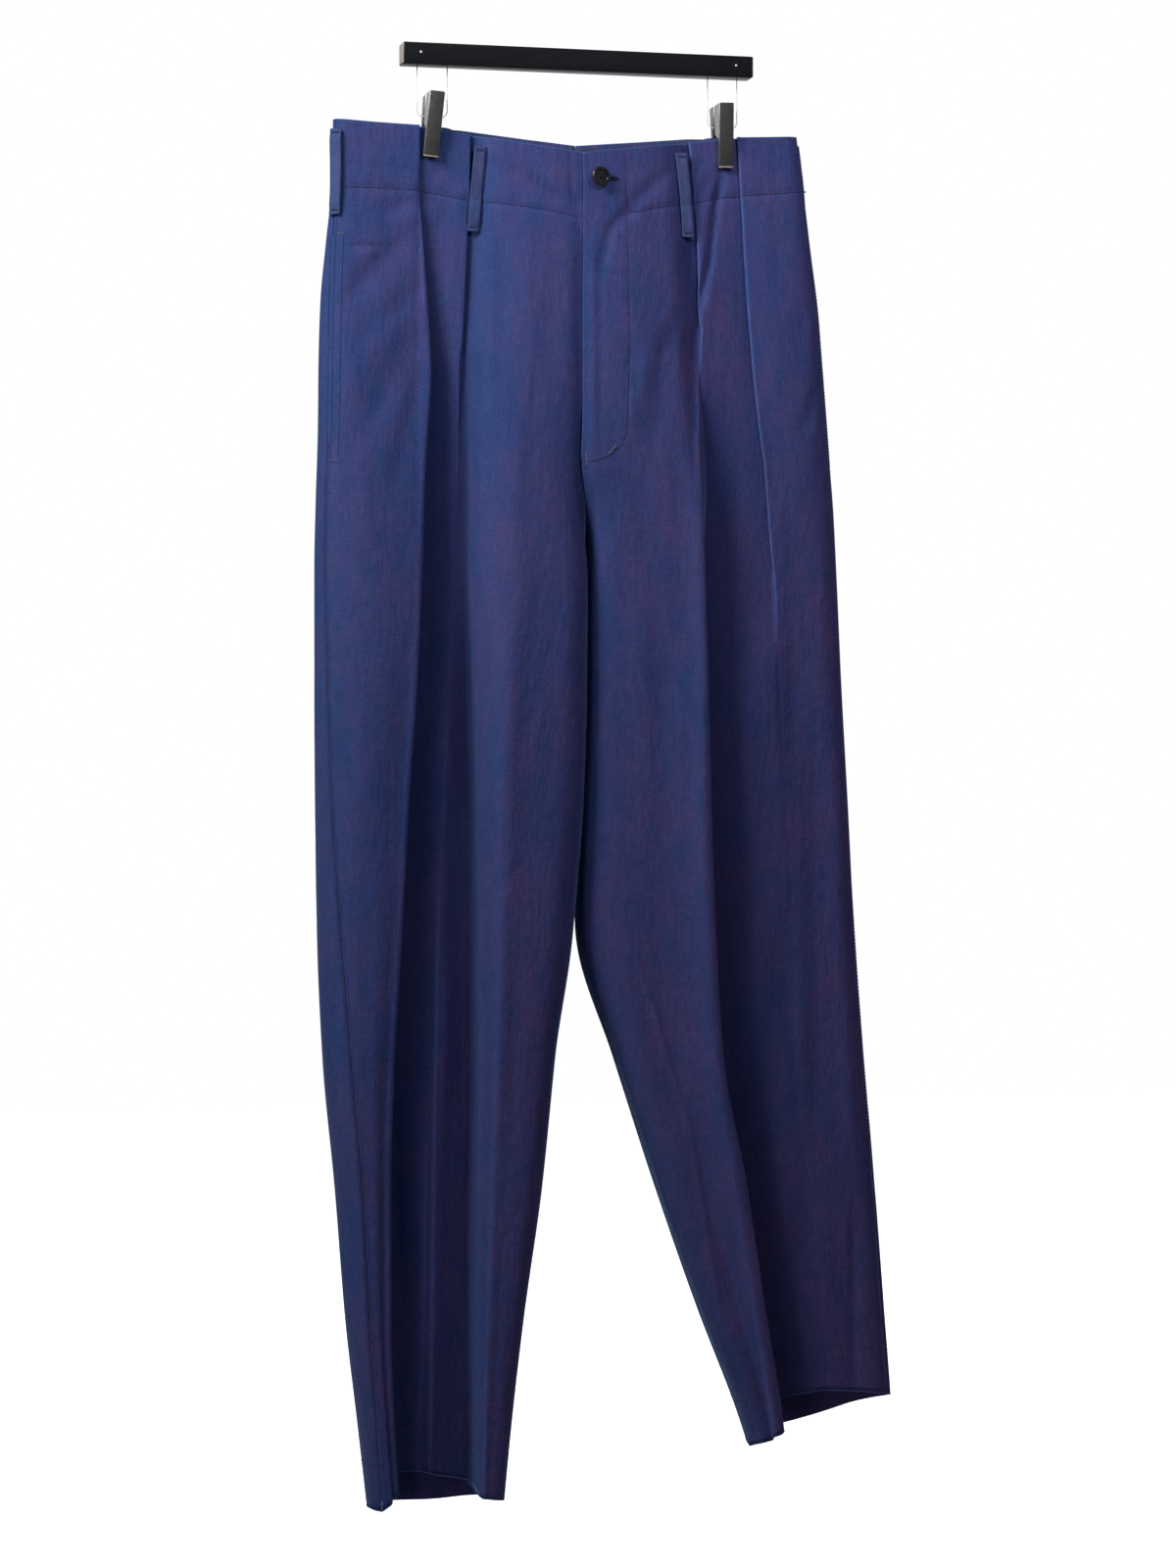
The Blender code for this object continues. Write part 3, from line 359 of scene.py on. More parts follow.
# Height, and how far to the wearer's left the legs part there.
PARTING = (
    (-60, 1.5), (-110, 1), (-155, 0.5), (-200, -0.5), (-250, -1), (-300, -2),
    (-320, -2.8), (-350, 1.5), (-405, 6), (-490, 5.5), (-580, 2.5), (-680, -4),
    (-780, -7), (-1125, -7),
)
PLAN = ("z", "side", "seam", "in1", "out1", "in2", "out2", "crown", "apart")
RIGHT_PLAN = (
    (-60, 192, 62, 125.5, 143.5, 85.5, 99.5, 20, -4),
    (-110, 193, 60, 126, 144, 86, 100, 25, -4),
    (-155, 197.5, 52, 123, 139, 88.5, 99.5, 30, -4),
    (-200, 201.5, 48, 120, 134, 90.5, 97.5, 38, -4),
    (-250, 203, 50, 118, 130, 93, 93, 46, -3),
    (-300, 203.5, 53, 121, 132, 94.5, 92.5, 54, 0),
    (-320, 204, 55, 122.5, 133, 95, 92, 55, 0),
    (-350, 205, 57, 124, 134, 96, 92, 58, 0),
    (-405, 206, 58, 126, 135, 98, 92, 60, 0),
    (-490, 206, 53, 130, 138, 101, 90, 65, 0),
    (-580, 205.5, 46, 136.5, 143.5, 103.5, 88, 69, 0),
    (-680, 204, 33, 142, 149, 107, 87, 71, 1.5),
    (-780, 199.5, 19, 148, 155, 110, 86.5, 73, 13),
    (-880, 190, 9, 150.5, 157, 116, 88, 76, 23.5),
    (-980, 182, 6, 150.5, 156, 119, 89, 79, 38),
    (-1060, 172.5, 12, 147, 152, 122, 88, 81, 47.5),
    (-1125, 165, 20, 142, 146.5, 123, 88, 81.5, 54),
)
LEFT_PLAN = (
    (-60, 176, 118, 126, 144, 87, 101, 20, 0),
    (-110, 182.5, 116, 129, 147, 92, 105, 25, 0),
    (-155, 188, 114, 131, 148, 94, 104, 30, 0),
    (-200, 194, 112, 133.5, 147.5, 94.5, 101.5, 38, 0),
    (-225, 196, 111, 135.5, 147.5, 95, 92.5, 42, 0),
    (-250, 198, 110, 137.5, 147, 95, 92.5, 46, 0),
    (-300, 202, 108, 143, 147, 95.5, 94, 54, 0),
    (-320, 203.5, 107, 146, 149.5, 95.5, 94.5, 56, 0),
    (-350, 206, 106, 148.5, 151.5, 94.5, 95.6, 59, 0),
    (-405, 209, 104, 153, 154, 93, 96, 60, 0),
    (-490, 213, 102, 158, 154, 93, 97, 62, 0),
    (-580, 218, 98, 164, 158, 92.5, 98, 63, 0),
    (-680, 223.5, 92, 170, 163, 96, 101.5, 62, 3.4),
    (-780, 231, 80, 176, 168, 102, 108, 72, 36),
    (-880, 240, 56, 188, 180, 120, 127, 97, 69),
    (-980, 248, 48, 198, 190, 135.5, 143, 123, 104.5),
    (-1060, 254, 44, 206, 198, 149.5, 157, 146, 136),
    (-1125, 256, 42, 212, 204, 158, 165, 157, 157),
)
DEPTH = ("z", "side", "outer", "lip1", "floor1", "lip2", "foot2", "crown", "inner", "turn")
RIGHT_DEPTH = (
    (-60, -1, -7, -7, -3.2, -4.2, -0.4, -13.2, -11.7, 15),
    (-110, -1, -9.5, -8, -3.8, -5.6, -1.6, -16.5, -14.7, 15),
    (-155, -1, -12.5, -10.5, -4, -6.2, -2, -20, -18.2, 15),
    (-200, 0, -15.5, -13.5, -3.5, -6, -1.8, -23.5, -21.2, 15),
    (-250, 0, -18.5, -16.5, -1.5, -5, -1.5, -27.5, -23.7, 20),
    (-300, 0, -21, -19, 1, -2.5, -1, -31, -25.2, 30),
    (-320, 0, -22, -20, 1.8, -2, -1, -32.5, -25.2, 35),
    (-350, 0, -23, -21, 2.5, -1, -0.5, -34, -20, 60),
    (-405, 1, -25, -22.5, 3.5, 0, 0, -37, -0.3, 90),
    (-490, 1, -27, -24, 5, 1, 3, -40, -0.3, 90),
    (-580, 1, -28, -25, 6, 1, 5, -42, -0.3, 90),
    (-680, 2, -29, -25.5, 6.5, 1, 5.5, -43, -0.3, 90),
    (-780, 2, -29, -25.5, 6.5, 1, 5.5, -42, -0.3, 90),
    (-880, 2, -28, -25, 6.5, 1, 5.5, -40.5, -0.3, 90),
    (-980, 2, -27, -24, 6, 0.5, 5, -38, -0.3, 90),
    (-1060, 2, -25, -22, 5, 0, 4.5, -34.5, -0.3, 90),
    (-1125, 2, -23.5, -20.5, 4.5, 0, 4.5, -32, -0.3, 90),
)
LEFT_DEPTH = (
    (-60, -1, -7, -7, -3.2, -4.2, -0.4, -14, -14.5, 15),
    (-110, -1, -9.5, -8, -3.8, -5.6, -1.6, -17, -17.5, 15),
    (-155, -1, -12, -10.5, -5.5, -8.5, -4.3, -20.5, -21, 15),
    (-200, 0, -14, -12.5, -7.5, -11, -6.8, -24, -24, 15),
    (-225, 0, -14.8, -13.4, -8.6, -11.6, -8, -26, -25.4, 17),
    (-250, 0, -15.5, -14.2, -9.6, -12.5, -12.5, -27, -26.5, 20),
    (-300, 0, -16, -15.2, -11.3, -13, -22, -28, -28, 30),
    (-320, 0, -15.8, -15, -11.1, -13.5, -25.5, -28.5, -27.6, 35),
    (-350, 0, -15, -14.6, -10.9, -15, -30, -28.5, -20, 60),
    (-405, 0, -13, -14, -11, -17, -34, -28, -0.3, 90),
    (-490, 0, -11.5, -13, -14, -19, -37, -27.5, -0.3, 90),
    (-580, 0, -10.5, -12.5, -13, -18, -38.5, -27.5, -0.3, 90),
    (-680, 0, -10.5, -12, -12.5, -15, -39, -28, -0.3, 90),
    (-780, 0, -10.5, -12, -11.5, -12, -38.5, -28, -0.3, 90),
    (-880, 0, -10.5, -11.5, -11, -10, -37, -28, -0.3, 90),
    (-980, 0, -10, -11, -10.5, -9, -35, -27, -0.3, 90),
    (-1060, 0, -10, -10.5, -10, -8, -32, -25, -0.3, 90),
    (-1125, 0, -9.5, -10, -10, -8, -30, -24, -0.3, 90),
)
BACK = ("z", "out", "mid", "in", "edge")
BACK_DEPTH = (
    (-60, 3, 5.2, 8, 9),
    (-90, 3.4, 6, 9.5, 10.5),
    (-110, 5, 7, 11, 12),
    (-155, 9, 9, 14, 14.5),
    (-200, 13, 11, 17.5, 17.5),
    (-250, 17, 12.5, 21, 20),
    (-300, 20, 14, 24.5, 21.5),
    (-350, 22, 15, 27, 16),
    (-405, 24, 16, 28.5, 0.3),
    (-490, 26, 17.5, 30, 0.3),
    (-580, 27, 18.5, 31, 0.3),
    (-680, 26, 19.5, 31, 0.3),
    (-780, 25, 20, 30, 0.3),
    (-880, 24, 19, 28.5, 0.3),
    (-980, 22.5, 17, 26.5, 0.3),
    (-1060, 21, 16, 24.5, 0.3),
    (-1125, 20, 15.5, 23, 0.3),
)
# Where the named columns end: the heights of the top edge, the right hem and the left hem.
FRONT_ENDS = {
    "seam": (-61.0, -1122.0, -1048.0),
    "near1": (-63.6, -1113.0, -1044.5),
    "leave1": (-63.2, -1102.0, -1044.0),
    "clear1": (-64.4, -1096.5, -1044.0),
    "near2": (-68.6, -1096.0, -1049.0),
    "enter2": (-68.8, -1096.5, -1056.0),
    "leave2": (-68.0, -1105.0, -1073.5),
    "clear2": (-69.5, -1109.0, -1075.5),
    "crown": (-78.4, -1113.5, -1079.0),
    "inner": (-81.2, -1120.0, -1087.0),
}
BACK_ENDS = {
    "seam": (-61.0, -1122.0, -1048.5),
    "mid": (-64.8, -1120.5, -1067.0),
    "inner": (-72.6, -1120.0, -1087.0),
}
print("sections: right", len(RIGHT_PLAN), "left", len(LEFT_PLAN), "back", len(BACK_DEPTH))

# %% Smooth tables and smooth plan curves
def mix(a, b, part):
    """Part of the way from a to b."""
    return a + (b - a) * part


def mix_point(a, b, part):
    return (mix(a[0], b[0], part), mix(a[1], b[1], part))


def ease(x):
    """0 below 0, 1 above 1, and a smooth rise between."""
    x = min(1.0, max(0.0, x))
    return x * x * (3.0 - 2.0 * x)


def ease_all(values):
    """The same for an array of values."""
    values = np.clip(values, 0.0, 1.0)
    return values * values * (3.0 - 2.0 * values)


class Sections:
    """A table of sections whose columns run smoothly, with no overshoot, in height."""

    def __init__(self, columns, rows):
        rows = sorted(rows)
        self.heights = [row[0] for row in rows]
        self.values = {name: [row[i] for row in rows] for i, name in enumerate(columns)}
        self.slopes = {name: self.slopes_of(values) for name, values in self.values.items()}

    def slopes_of(self, values):
        steps = [b - a for a, b in zip(self.heights, self.heights[1:])]
        rises = [(b - a) / h for a, b, h in zip(values, values[1:], steps)]
        slopes = [rises[0]]
        for i in range(1, len(values) - 1):
            before, after = rises[i - 1], rises[i]
            if before * after <= 0.0:
                slopes.append(0.0)
                continue
            w1 = 2.0 * steps[i] + steps[i - 1]
            w2 = steps[i] + 2.0 * steps[i - 1]
            slopes.append((w1 + w2) / (w1 / before + w2 / after))
        slopes.append(rises[-1])
        return slopes

    def at(self, z):
        z = min(self.heights[-1], max(self.heights[0], z))
        i = 0
        while i < len(self.heights) - 2 and z > self.heights[i + 1]:
            i += 1
        h = self.heights[i + 1] - self.heights[i]
        t = (z - self.heights[i]) / h
        found = {}
        for name, values in self.values.items():
            slopes = self.slopes[name]
            found[name] = (
                values[i] * (1.0 + 2.0 * t) * (1.0 - t) ** 2
                + slopes[i] * h * t * (1.0 - t) ** 2
                + values[i + 1] * t * t * (3.0 - 2.0 * t)
                + slopes[i + 1] * h * t * t * (t - 1.0)
            )
        return found


def smooth_run(before, a, b, after, count):
    """Points from a to b on a centripetal Catmull-Rom curve, b left out."""
    def knot(t, p, q):
        return t + max(1e-6, math.dist(p, q)) ** 0.5

    t0 = 0.0
    t1 = knot(t0, before, a)
    t2 = knot(t1, a, b)
    t3 = knot(t2, b, after)

    def blend(p, q, ta, tb, t):
        return mix_point(p, q, (t - ta) / (tb - ta))

    points = []
    for k in range(count):
        t = mix(t1, t2, k / count)
        low = blend(before, a, t0, t1, t)
        middle = blend(a, b, t1, t2, t)
        high = blend(b, after, t2, t3, t)
        inner = blend(low, middle, t0, t2, t), blend(middle, high, t1, t3, t)
        points.append(blend(*inner, t1, t2, t))
    return points


def smooth_path(stations, fine=8):
    """A fine path through the stations, and where each station falls on it."""
    first = mix_point(stations[1], stations[0], 2.0)
    last = mix_point(stations[-2], stations[-1], 2.0)
    padded = [first] + list(stations) + [last]
    path, places = [], []
    for i in range(1, len(padded) - 2):
        places.append(len(path))
        path += smooth_run(padded[i - 1], padded[i], padded[i + 1], padded[i + 2], fine)
    places.append(len(path))
    path.append(stations[-1])
    return path, places


def spaced(path, count):
    """count equal steps along a path, its last point left out."""
    lengths = [0.0]
    for a, b in zip(path, path[1:]):
        lengths.append(lengths[-1] + math.dist(a, b))
    points, i = [], 0
    for k in range(count):
        want = lengths[-1] * k / count
        while lengths[i + 1] < want and i < len(path) - 2:
            i += 1
        run = lengths[i + 1] - lengths[i]
        points.append(mix_point(path[i], path[i + 1], (want - lengths[i]) / run if run else 0.0))
    return points


def trimmed(path, length):
    """The path without its first length."""
    path = list(path)
    while math.dist(path[0], path[1]) <= length:
        length -= math.dist(path[0], path[1])
        path.pop(0)
    path[0] = mix_point(path[0], path[1], length / math.dist(path[0], path[1]))
    return path


# %% The turns of one pleat
# How far a turn rolls: a share of the step in depth, up to so many millimetres.
FRONT_ROLL, BACK_ROLL = (0.36, 3.2), (0.13, 1.6)


def fold(inner_turn, outer_turn, y_in, y_out, number):
    """The stations of one pleat.  The cloth comes in at depth y_in, rolls back at
    inner_turn, runs out to outer_turn, rolls in again and leaves at depth y_out.
    A pleat with no lap, or with hardly any step, lies open as a slope instead."""
    step = y_out - y_in
    lap = outer_turn - inner_turn
    way = 1.0 if step >= 0.0 else -1.0
    front_roll, back_roll = [min(share * abs(step), most)
                             for share, most in (FRONT_ROLL, BACK_ROLL)]
    roll_a, roll_b = (front_roll, back_roll) if step >= 0.0 else (back_roll, front_roll)
    closed = ease(lap / (roll_a + roll_b + 0.5)) * ease((abs(step) - 1.2) / 1.8)
    middle = (inner_turn + outer_turn) / 2.0
    half = max((roll_a + roll_b - lap) / 2.0, min(0.5 * abs(step), 5.0), 1.5)

    def slope(part):
        down = mix(ease(part), 1.0 - (1.0 - part) ** 2, 0.6)
        return (mix(middle + half, middle - half, part), mix(y_in, y_out, down))

    points = []
    for k in range(5):
        turn = math.radians(45.0 * k)
        rolled = (inner_turn + roll_a * (1.0 - math.sin(turn)),
                  y_in + way * roll_a * (1.0 - math.cos(turn)))
        points.append(mix_point(slope(0.1 * k), rolled, closed))
    for k in range(4):
        turn = math.radians(60.0 * k)
        rolled = (outer_turn - roll_b * (1.0 - math.sin(turn)),
                  y_out - way * roll_b * (1.0 + math.cos(turn)))
        points.append(mix_point(slope(0.6 + 0.4 * k / 3.0), rolled, closed))
    named = [("near" + number, (points[0][0] + 2.5, y_in)), ("enter" + number, points[0])]
    named += [("", point) for point in points[1:-1]]
    named.append(("leave" + number, points[-1]))
    named.append(("clear" + number, (min(inner_turn, points[-1][0]) - 2.5, y_out)))
    return named


print("stations of one pleat:", len(fold(126.0, 144.0, -8.0, -3.8, "1")))


# %% The two legs
BACK_SECTIONS = Sections(BACK, BACK_DEPTH)
CROTCH = -350.0


class Leg:
    """One leg's tables, and the plan curves of its front and back at a height."""

    def __init__(self, name, sign, plan, depth):
        self.name = name
        self.sign = sign
        self.plan = Sections(PLAN, plan)
        self.depth = Sections(DEPTH, depth)
        self.back = BACK_SECTIONS
        self.parting = Sections(("z", "x"), PARTING)

    def plan_at(self, z):
        p = self.plan.at(z)
        p["middle"] = self.sign * self.parting.at(z)["x"]
        p["inner"] = p["middle"] + p["apart"]
        return p

    def side_turn(self, p, y, behind, degrees):
        """A point of the rounded side edge: 0 is its front crown, 180 its back one."""
        turn = math.radians(degrees)
        if degrees <= 90.0:
            depth, widest = y["outer"], 0.5 * (p["side"] - p["in1"])
        else:
            depth, widest = behind["out"], 0.22 * (p["side"] - p["inner"])
        reach = min(widest, 3.0 + 1.4 * abs(depth - y["side"]))
        return (p["side"] - reach * (1.0 - math.sin(turn)),
                mix(y["side"], depth, abs(math.cos(turn))))

    def front(self, z):
        p, y, behind = self.plan_at(z), self.depth.at(z), self.back.at(z)
        named = [("", self.side_turn(p, y, behind, p["seam"] + 12.0)),
                 ("seam", self.side_turn(p, y, behind, p["seam"]))]
        for k in range(1, 6):
            named.append(("", self.side_turn(p, y, behind, p["seam"] * (1.0 - k / 5))))
        named.append(("outer", (mix(named[-1][1][0], p["in1"], 0.35), y["outer"])))
        named += fold(p["in1"], p["out1"], y["lip1"], y["floor1"], "1")
        inner_fold = fold(p["in2"], p["out2"], y["lip2"], y["foot2"], "2")
        strip = mix_point(named[-1][1], inner_fold[0][1], 0.5)
        named.append(("", (strip[0], mix(y["floor1"], y["lip2"], 0.3))))
        named += inner_fold
        crown = (p["crown"], y["crown"])
        low = inner_fold[-1][1]
        rise = 0.66 if crown[1] < low[1] else 0.5
        named.append(("", (mix(low[0], crown[0], 0.32), mix(low[1], crown[1], rise))))
        named += self.inner_turn(crown, (p["inner"] + SEAM_GAP / 2, y["inner"]), y["turn"])
        return named

    def behind(self, z):
        p, y, behind = self.plan_at(z), self.depth.at(z), self.back.at(z)
        named = [("", self.side_turn(p, y, behind, p["seam"] - 12.0)),
                 ("seam", self.side_turn(p, y, behind, p["seam"]))]
        for k in range(1, 7):
            angle = mix(p["seam"], 180.0, k / 6)
            named.append(("outer" if k == 6 else "", self.side_turn(p, y, behind, angle)))
        named.append(("mid", (mix(p["side"], p["inner"], 0.5), behind["mid"])))
        crown = (mix(p["side"], p["inner"], 0.78), behind["in"])
        edge = (self.back_inner(z, p) + SEAM_GAP / 2, behind["edge"])
        inner_run = self.inner_turn(crown, edge, y["turn"])
        named += [("", inner_run[0][1])] + inner_run[1:]
        return named

    def back_inner(self, z, p):
        """The centre back seam is upright; from the crotch down it is the inseam."""
        if z > CROTCH:
            return mix(0.0, p["middle"], ease((-300.0 - z) / 50.0))
        return p["inner"]

    def inner_turn(self, crown, edge, degrees):
        """From the crown round to the inner edge.  A full turn keeps forward for longer
        than an ellipse does, and then turns back sharply."""
        full = math.radians(degrees)
        late = 1.0 + ease((degrees - 30.0) / 60.0)
        named = [("crown", crown)]
        for k in range(1, 7):
            t = full * k / 6
            across = math.sin(t) / math.sin(full)
            round_in = ((1.0 - math.cos(t)) / (1.0 - math.cos(full))) ** late
            named.append(("inner" if k == 6 else "",
                          (mix(crown[0], edge[0], across), mix(crown[1], edge[1], round_in))))
        return named


RIGHT = Leg("right", -1.0, RIGHT_PLAN, RIGHT_DEPTH)
LEFT = Leg("left", 1.0, LEFT_PLAN, LEFT_DEPTH)
HEM_COLUMN = {"right": 1, "left": 2}    # in the tables of edge heights
SIDES = [(leg, face) for leg in (RIGHT, LEFT) for face in ("front", "back")]
OUT = {"front": -1.0, "back": 1.0}      # the way each face looks along Y
for leg in (RIGHT, LEFT):
    knee = leg.plan_at(-600.0)
    print(leg.name, "knee in mm across:", round(knee["side"] - knee["inner"], 1))

# %% [markdown]
# ## Fine surfaces
# A garment is thin, so its surface is best kept as a table: one row of plan points for every
# few millimetres of height, with the same columns all the way down.  Each visible piece is
# then read from the table at its own heights.  The columns sit close together round the
# rolled pleat edges, where the cloth turns on a radius of a millimetre or two, and wider
# apart where it runs flat.

# %% Plan tables of the four panels
FRONT_CELLS = (
    ("seam", 14), ("outer", 9), ("near1", 2), ("enter1", 16), ("leave1", 2), ("clear1", 12),
    ("near2", 2), ("enter2", 16), ("leave2", 2), ("clear2", 14), ("crown", 34), ("inner", 0),
)
BACK_CELLS = (("seam", 18), ("outer", 14), ("mid", 38), ("inner", 0))
LEVEL_STEP = 3.0
LEVELS = np.arange(-1126.0, -55.0, LEVEL_STEP)


def columns_at(curve, cells, z):
    """The plan points of every column of a panel at one height."""
    named = curve(z)
    path, places = smooth_path([point for _, point in named])
    marks = {name: place for (name, _), place in zip(named, places) if name}
    points = []
    for (name, count), (next_name, _) in zip(cells, cells[1:]):
        run = path[marks[name]:marks[next_name] + 1]
        if name == "seam":
            run = trimmed(run, SEAM_GAP / 2)
        if name.startswith("enter"):
            points += [path[marks[name] + 4 * k] for k in range(count)]
        else:
            points += spaced(run, count)
    points.append(path[-1])
    return points


class Panel:
    """One panel's plan points at every level, and what is asked of its surface."""

    def __init__(self, leg, face):
        self.leg, self.face = leg, face
        self.cells = FRONT_CELLS if face == "front" else BACK_CELLS
        curve = leg.front if face == "front" else leg.behind
        self.table = np.array([columns_at(curve, self.cells, z) for z in LEVELS])
        ends = FRONT_ENDS if face == "front" else BACK_ENDS
        self.tops = self.edge_heights(ends, 0)
        self.hems = self.edge_heights(ends, HEM_COLUMN[leg.name])

    def edge_heights(self, ends, which):
        known, total = [], 0
        for name, count in self.cells:
            if name in ends:
                known.append((total, ends[name][which]))
            total += count
        return np.interp(np.arange(total + 1), *zip(*known))

    def column(self, name):
        """The number of the named column."""
        names = [cell[0] for cell in self.cells]
        return sum(cell[1] for cell in self.cells[:names.index(name)])

    def at_level(self, z):
        """All plan points at one height, as distances and depths."""
        place = (z - LEVELS[0]) / LEVEL_STEP
        low = int(min(max(math.floor(place), 0), len(LEVELS) - 2))
        row = self.table[low] + (self.table[low + 1] - self.table[low]) * (place - low)
        return row[:, 0], row[:, 1]

    def grid(self, parts, first=0):
        """Points of the panel, a row for each part of the way from the top to the hem."""
        columns = np.arange(first, len(self.tops))
        z = self.tops[columns] + np.outer(parts, self.hems[columns] - self.tops[columns])
        points = np.empty(z.shape + (3,))
        for k, column in enumerate(columns):
            distance = np.interp(z[:, k], LEVELS, self.table[:, column, 0])
            points[:, k, 0] = self.leg.sign * distance
            points[:, k, 1] = np.interp(z[:, k], LEVELS, self.table[:, column, 1])
        points[:, :, 2] = z
        return points

    def outer_layer(self, x, z):
        """The depth of the layer that shows at one place."""
        distance, depth = self.at_level(z)
        want = self.leg.sign * x
        a, b = distance[:-1] - want, distance[1:] - want
        hits = np.nonzero(a * b <= 0.0)[0]
        if not len(hits):
            return depth[np.argmin(np.abs(distance - want))]
        part = a[hits] / np.where(np.abs(a[hits] - b[hits]) < 1e-9, 1e-9, a[hits] - b[hits])
        found = depth[hits] + (depth[hits + 1] - depth[hits]) * part
        return float(found.min() if self.face == "front" else found.max())


PANELS = {(leg, face): Panel(leg, face) for leg, face in SIDES}
for (leg, face), panel in PANELS.items():
    print("panel", leg.name, face, "levels x columns", panel.table.shape[:2])

# %% [markdown]
# ## Creases in hanging cloth
# Cotton that hangs from two clips pulls into soft drag lines: they start at a clip or a
# pleat and fade out over the leg.  Each one here is a line across the garment with a width
# and a height, forward for a ridge and back for a trough.  Every layer of a pleat moves by
# the same amount, so that no layer passes through another, and the movement fades out
# towards the seams.  A slow, uneven ripple is added, because no cloth is as smooth as its
# pattern.

# %% Soft creases
# Each row: x and z at both ends, half width, height towards the viewer (negative: trough).
FRONT_CREASES = (
    (-130, -121, -152, -130, 6, -1.2), (-140, -148, -183, -201, 9, -2.2),
    (-130, -136, -170, -171, 8, 1), (-127, -187, -159, -220, 7, -1.1),
    (-130, -227, -170, -300, 9, -1.5), (-129, -254, -146, -339, 7, -1.5),
    (-149, -217, -185, -270, 9, 1), (-183, -159, -160, -158, 2.5, -0.9),
    (-189, -206, -177, -213, 3, -0.8), (-185, -94, -136, -99, 3, -0.5),
    (-187, -77, -156, -82, 4, -0.5), (-198, -375, -189, -398, 4, -1),
    (-109, -91, -89, -106, 7, -2), (-73, -87, -50, -99, 7, -2.2), (-53, -99, -22, -116, 7, -2.2),
    (-25, -115, -7, -128, 7, -1.5), (-68, -78, -15, -108, 8, 0.9),
    (-65, -127, -65, -231, 4, -1.5), (-72, -156, -72, -253, 6, 0.9),
    (-29, -136, -34, -223, 11, -0.7), (-8, -85, -8, -132, 3, -0.7),
    (-127, -128, -130, -321, 2.2, -1.3), (-165, -390, -171, -598, 12, 0.8),
    (-185, -449, -186, -703, 9, -0.9), (-156, -665, -159, -777, 9, 0.8),
    (-61, -449, -67, -718, 12, 0.8), (-33, -388, -36, -644, 12, -0.8),
    (-71, -831, -75, -1018, 12, -0.7), (-131, -967, -128, -1080, 7, 0.8),
    (-104, -727, -110, -945, 6, 0.7), (72, -90, 45, -115, 6, -1.7), (47, -113, 21, -141, 5, -1.6),
    (22, -139, 14, -172, 4.5, -1.4), (13, -167, 11, -304, 4, -0.9), (5, -184, 5, -297, 5, 0.9),
    (101, -80, 89, -98, 4, -1.2), (110, -89, 97, -111, 5, -1.2), (117, -84, 111, -110, 3, -2.6),
    (111, -107, 103, -164, 3, -3.2), (103, -161, 94, -201, 3, -3.2), (130, -71, 130, -91, 4, -1),
    (75, -207, 63, -237, 6, -1.5), (63, -234, 55, -304, 8, -1.6), (46, -242, 33, -297, 8, 1.3),
    (42, -230, 39, -266, 5, -0.8), (78, -256, 85, -357, 7, 0.9), (87, -139, 86, -188, 5, -1.5),
    (16, -174, 34, -177, 2, -0.7), (191, -254, 179, -292, 5, -1.8), (185, -185, 175, -220, 5, -1),
    (163, -124, 155, -186, 9, -0.7), (168, -415, 169, -614, 7, -1),
    (187, -630, 189, -845, 8, -1.2), (209, -607, 217, -838, 7, 1),
    (220, -915, 221, -1046, 4, -1.2), (36, -691, 58, -758, 2.5, 0.9),
    (58, -758, 82, -836, 2.5, 0.9), (83, -836, 109, -997, 2.5, 0.8), (33, -387, 29, -614, 12, -1),
    (60, -417, 71, -614, 11, 0.8), (147, -385, 152, -568, 9, 0.7),
    (163, -706, 173, -829, 7, -0.8), (-1, -170, -1.5, -335, 7, -3.2),
    (-114, -700, -119, -1085, 1.8, -1.3), (-110.5, -700, -115.5, -1085, 2.2, 0.8),
)
BACK_CREASES = (
    (-190, -150, -140, -118, 10, 1.0), (-184, -300, -120, -232, 14, 1.2),
    (-150, -360, -60, -300, 18, -1.0), (-60, -380, -12, -330, 14, 1.4),
    (60, -380, 12, -330, 14, 1.4), (150, -360, 60, -300, 18, -1.0),
    (184, -290, 120, -226, 14, 1.2), (186, -150, 140, -118, 10, 1.0),
    (-40, -430, -130, -520, 16, -1.2), (50, -430, 150, -530, 16, -1.2),
    (-100, -560, -96, -1000, 12, 1.4), (120, -560, 190, -1000, 12, 1.4),
    (-150, -600, -148, -980, 14, -1.0), (-60, -600, -62, -960, 14, -0.9),
    (170, -600, 222, -980, 14, -1.0), (80, -600, 130, -960, 14, -0.9),
    (-110, -98, -80, -160, 9, 1.0), (112, -98, 84, -160, 9, 1.0),
)


def crease_height(creases, x, z):
    """How far the creases push the cloth out at x, z (arrays in millimetres)."""
    total = np.zeros_like(x)
    for x0, z0, x1, z1, half, height in creases:
        run = np.array([x1 - x0, z1 - z0], float)
        length = float(np.hypot(*run))
        run /= length
        along = (x - x0) * run[0] + (z - z0) * run[1]
        across = (x - x0) * run[1] - (z - z0) * run[0]
        ends = 1.0 / (1.0 + np.exp(-(along + 0.04 * length) / (0.10 * length)))
        ends *= 1.0 / (1.0 + np.exp((along - 1.04 * length) / (0.10 * length)))
        total += height * ends * np.exp(-(across / half) ** 2)
    return total


def ripple(x, z, seed):
    """A slow uneven ripple, longer in height than in width, between about -1 and 1."""
    rng = np.random.default_rng(seed)
    total = np.zeros_like(x)
    for _ in range(26):
        wide, tall = rng.uniform(26.0, 70.0), rng.uniform(90.0, 420.0)
        lean, phase = rng.uniform(-0.5, 0.5), rng.uniform(0.0, 6.28)
        total += np.sin(6.28 * (x / wide * rng.choice([-1, 1]) + z / tall) + lean + phase)
    return total / 7.0


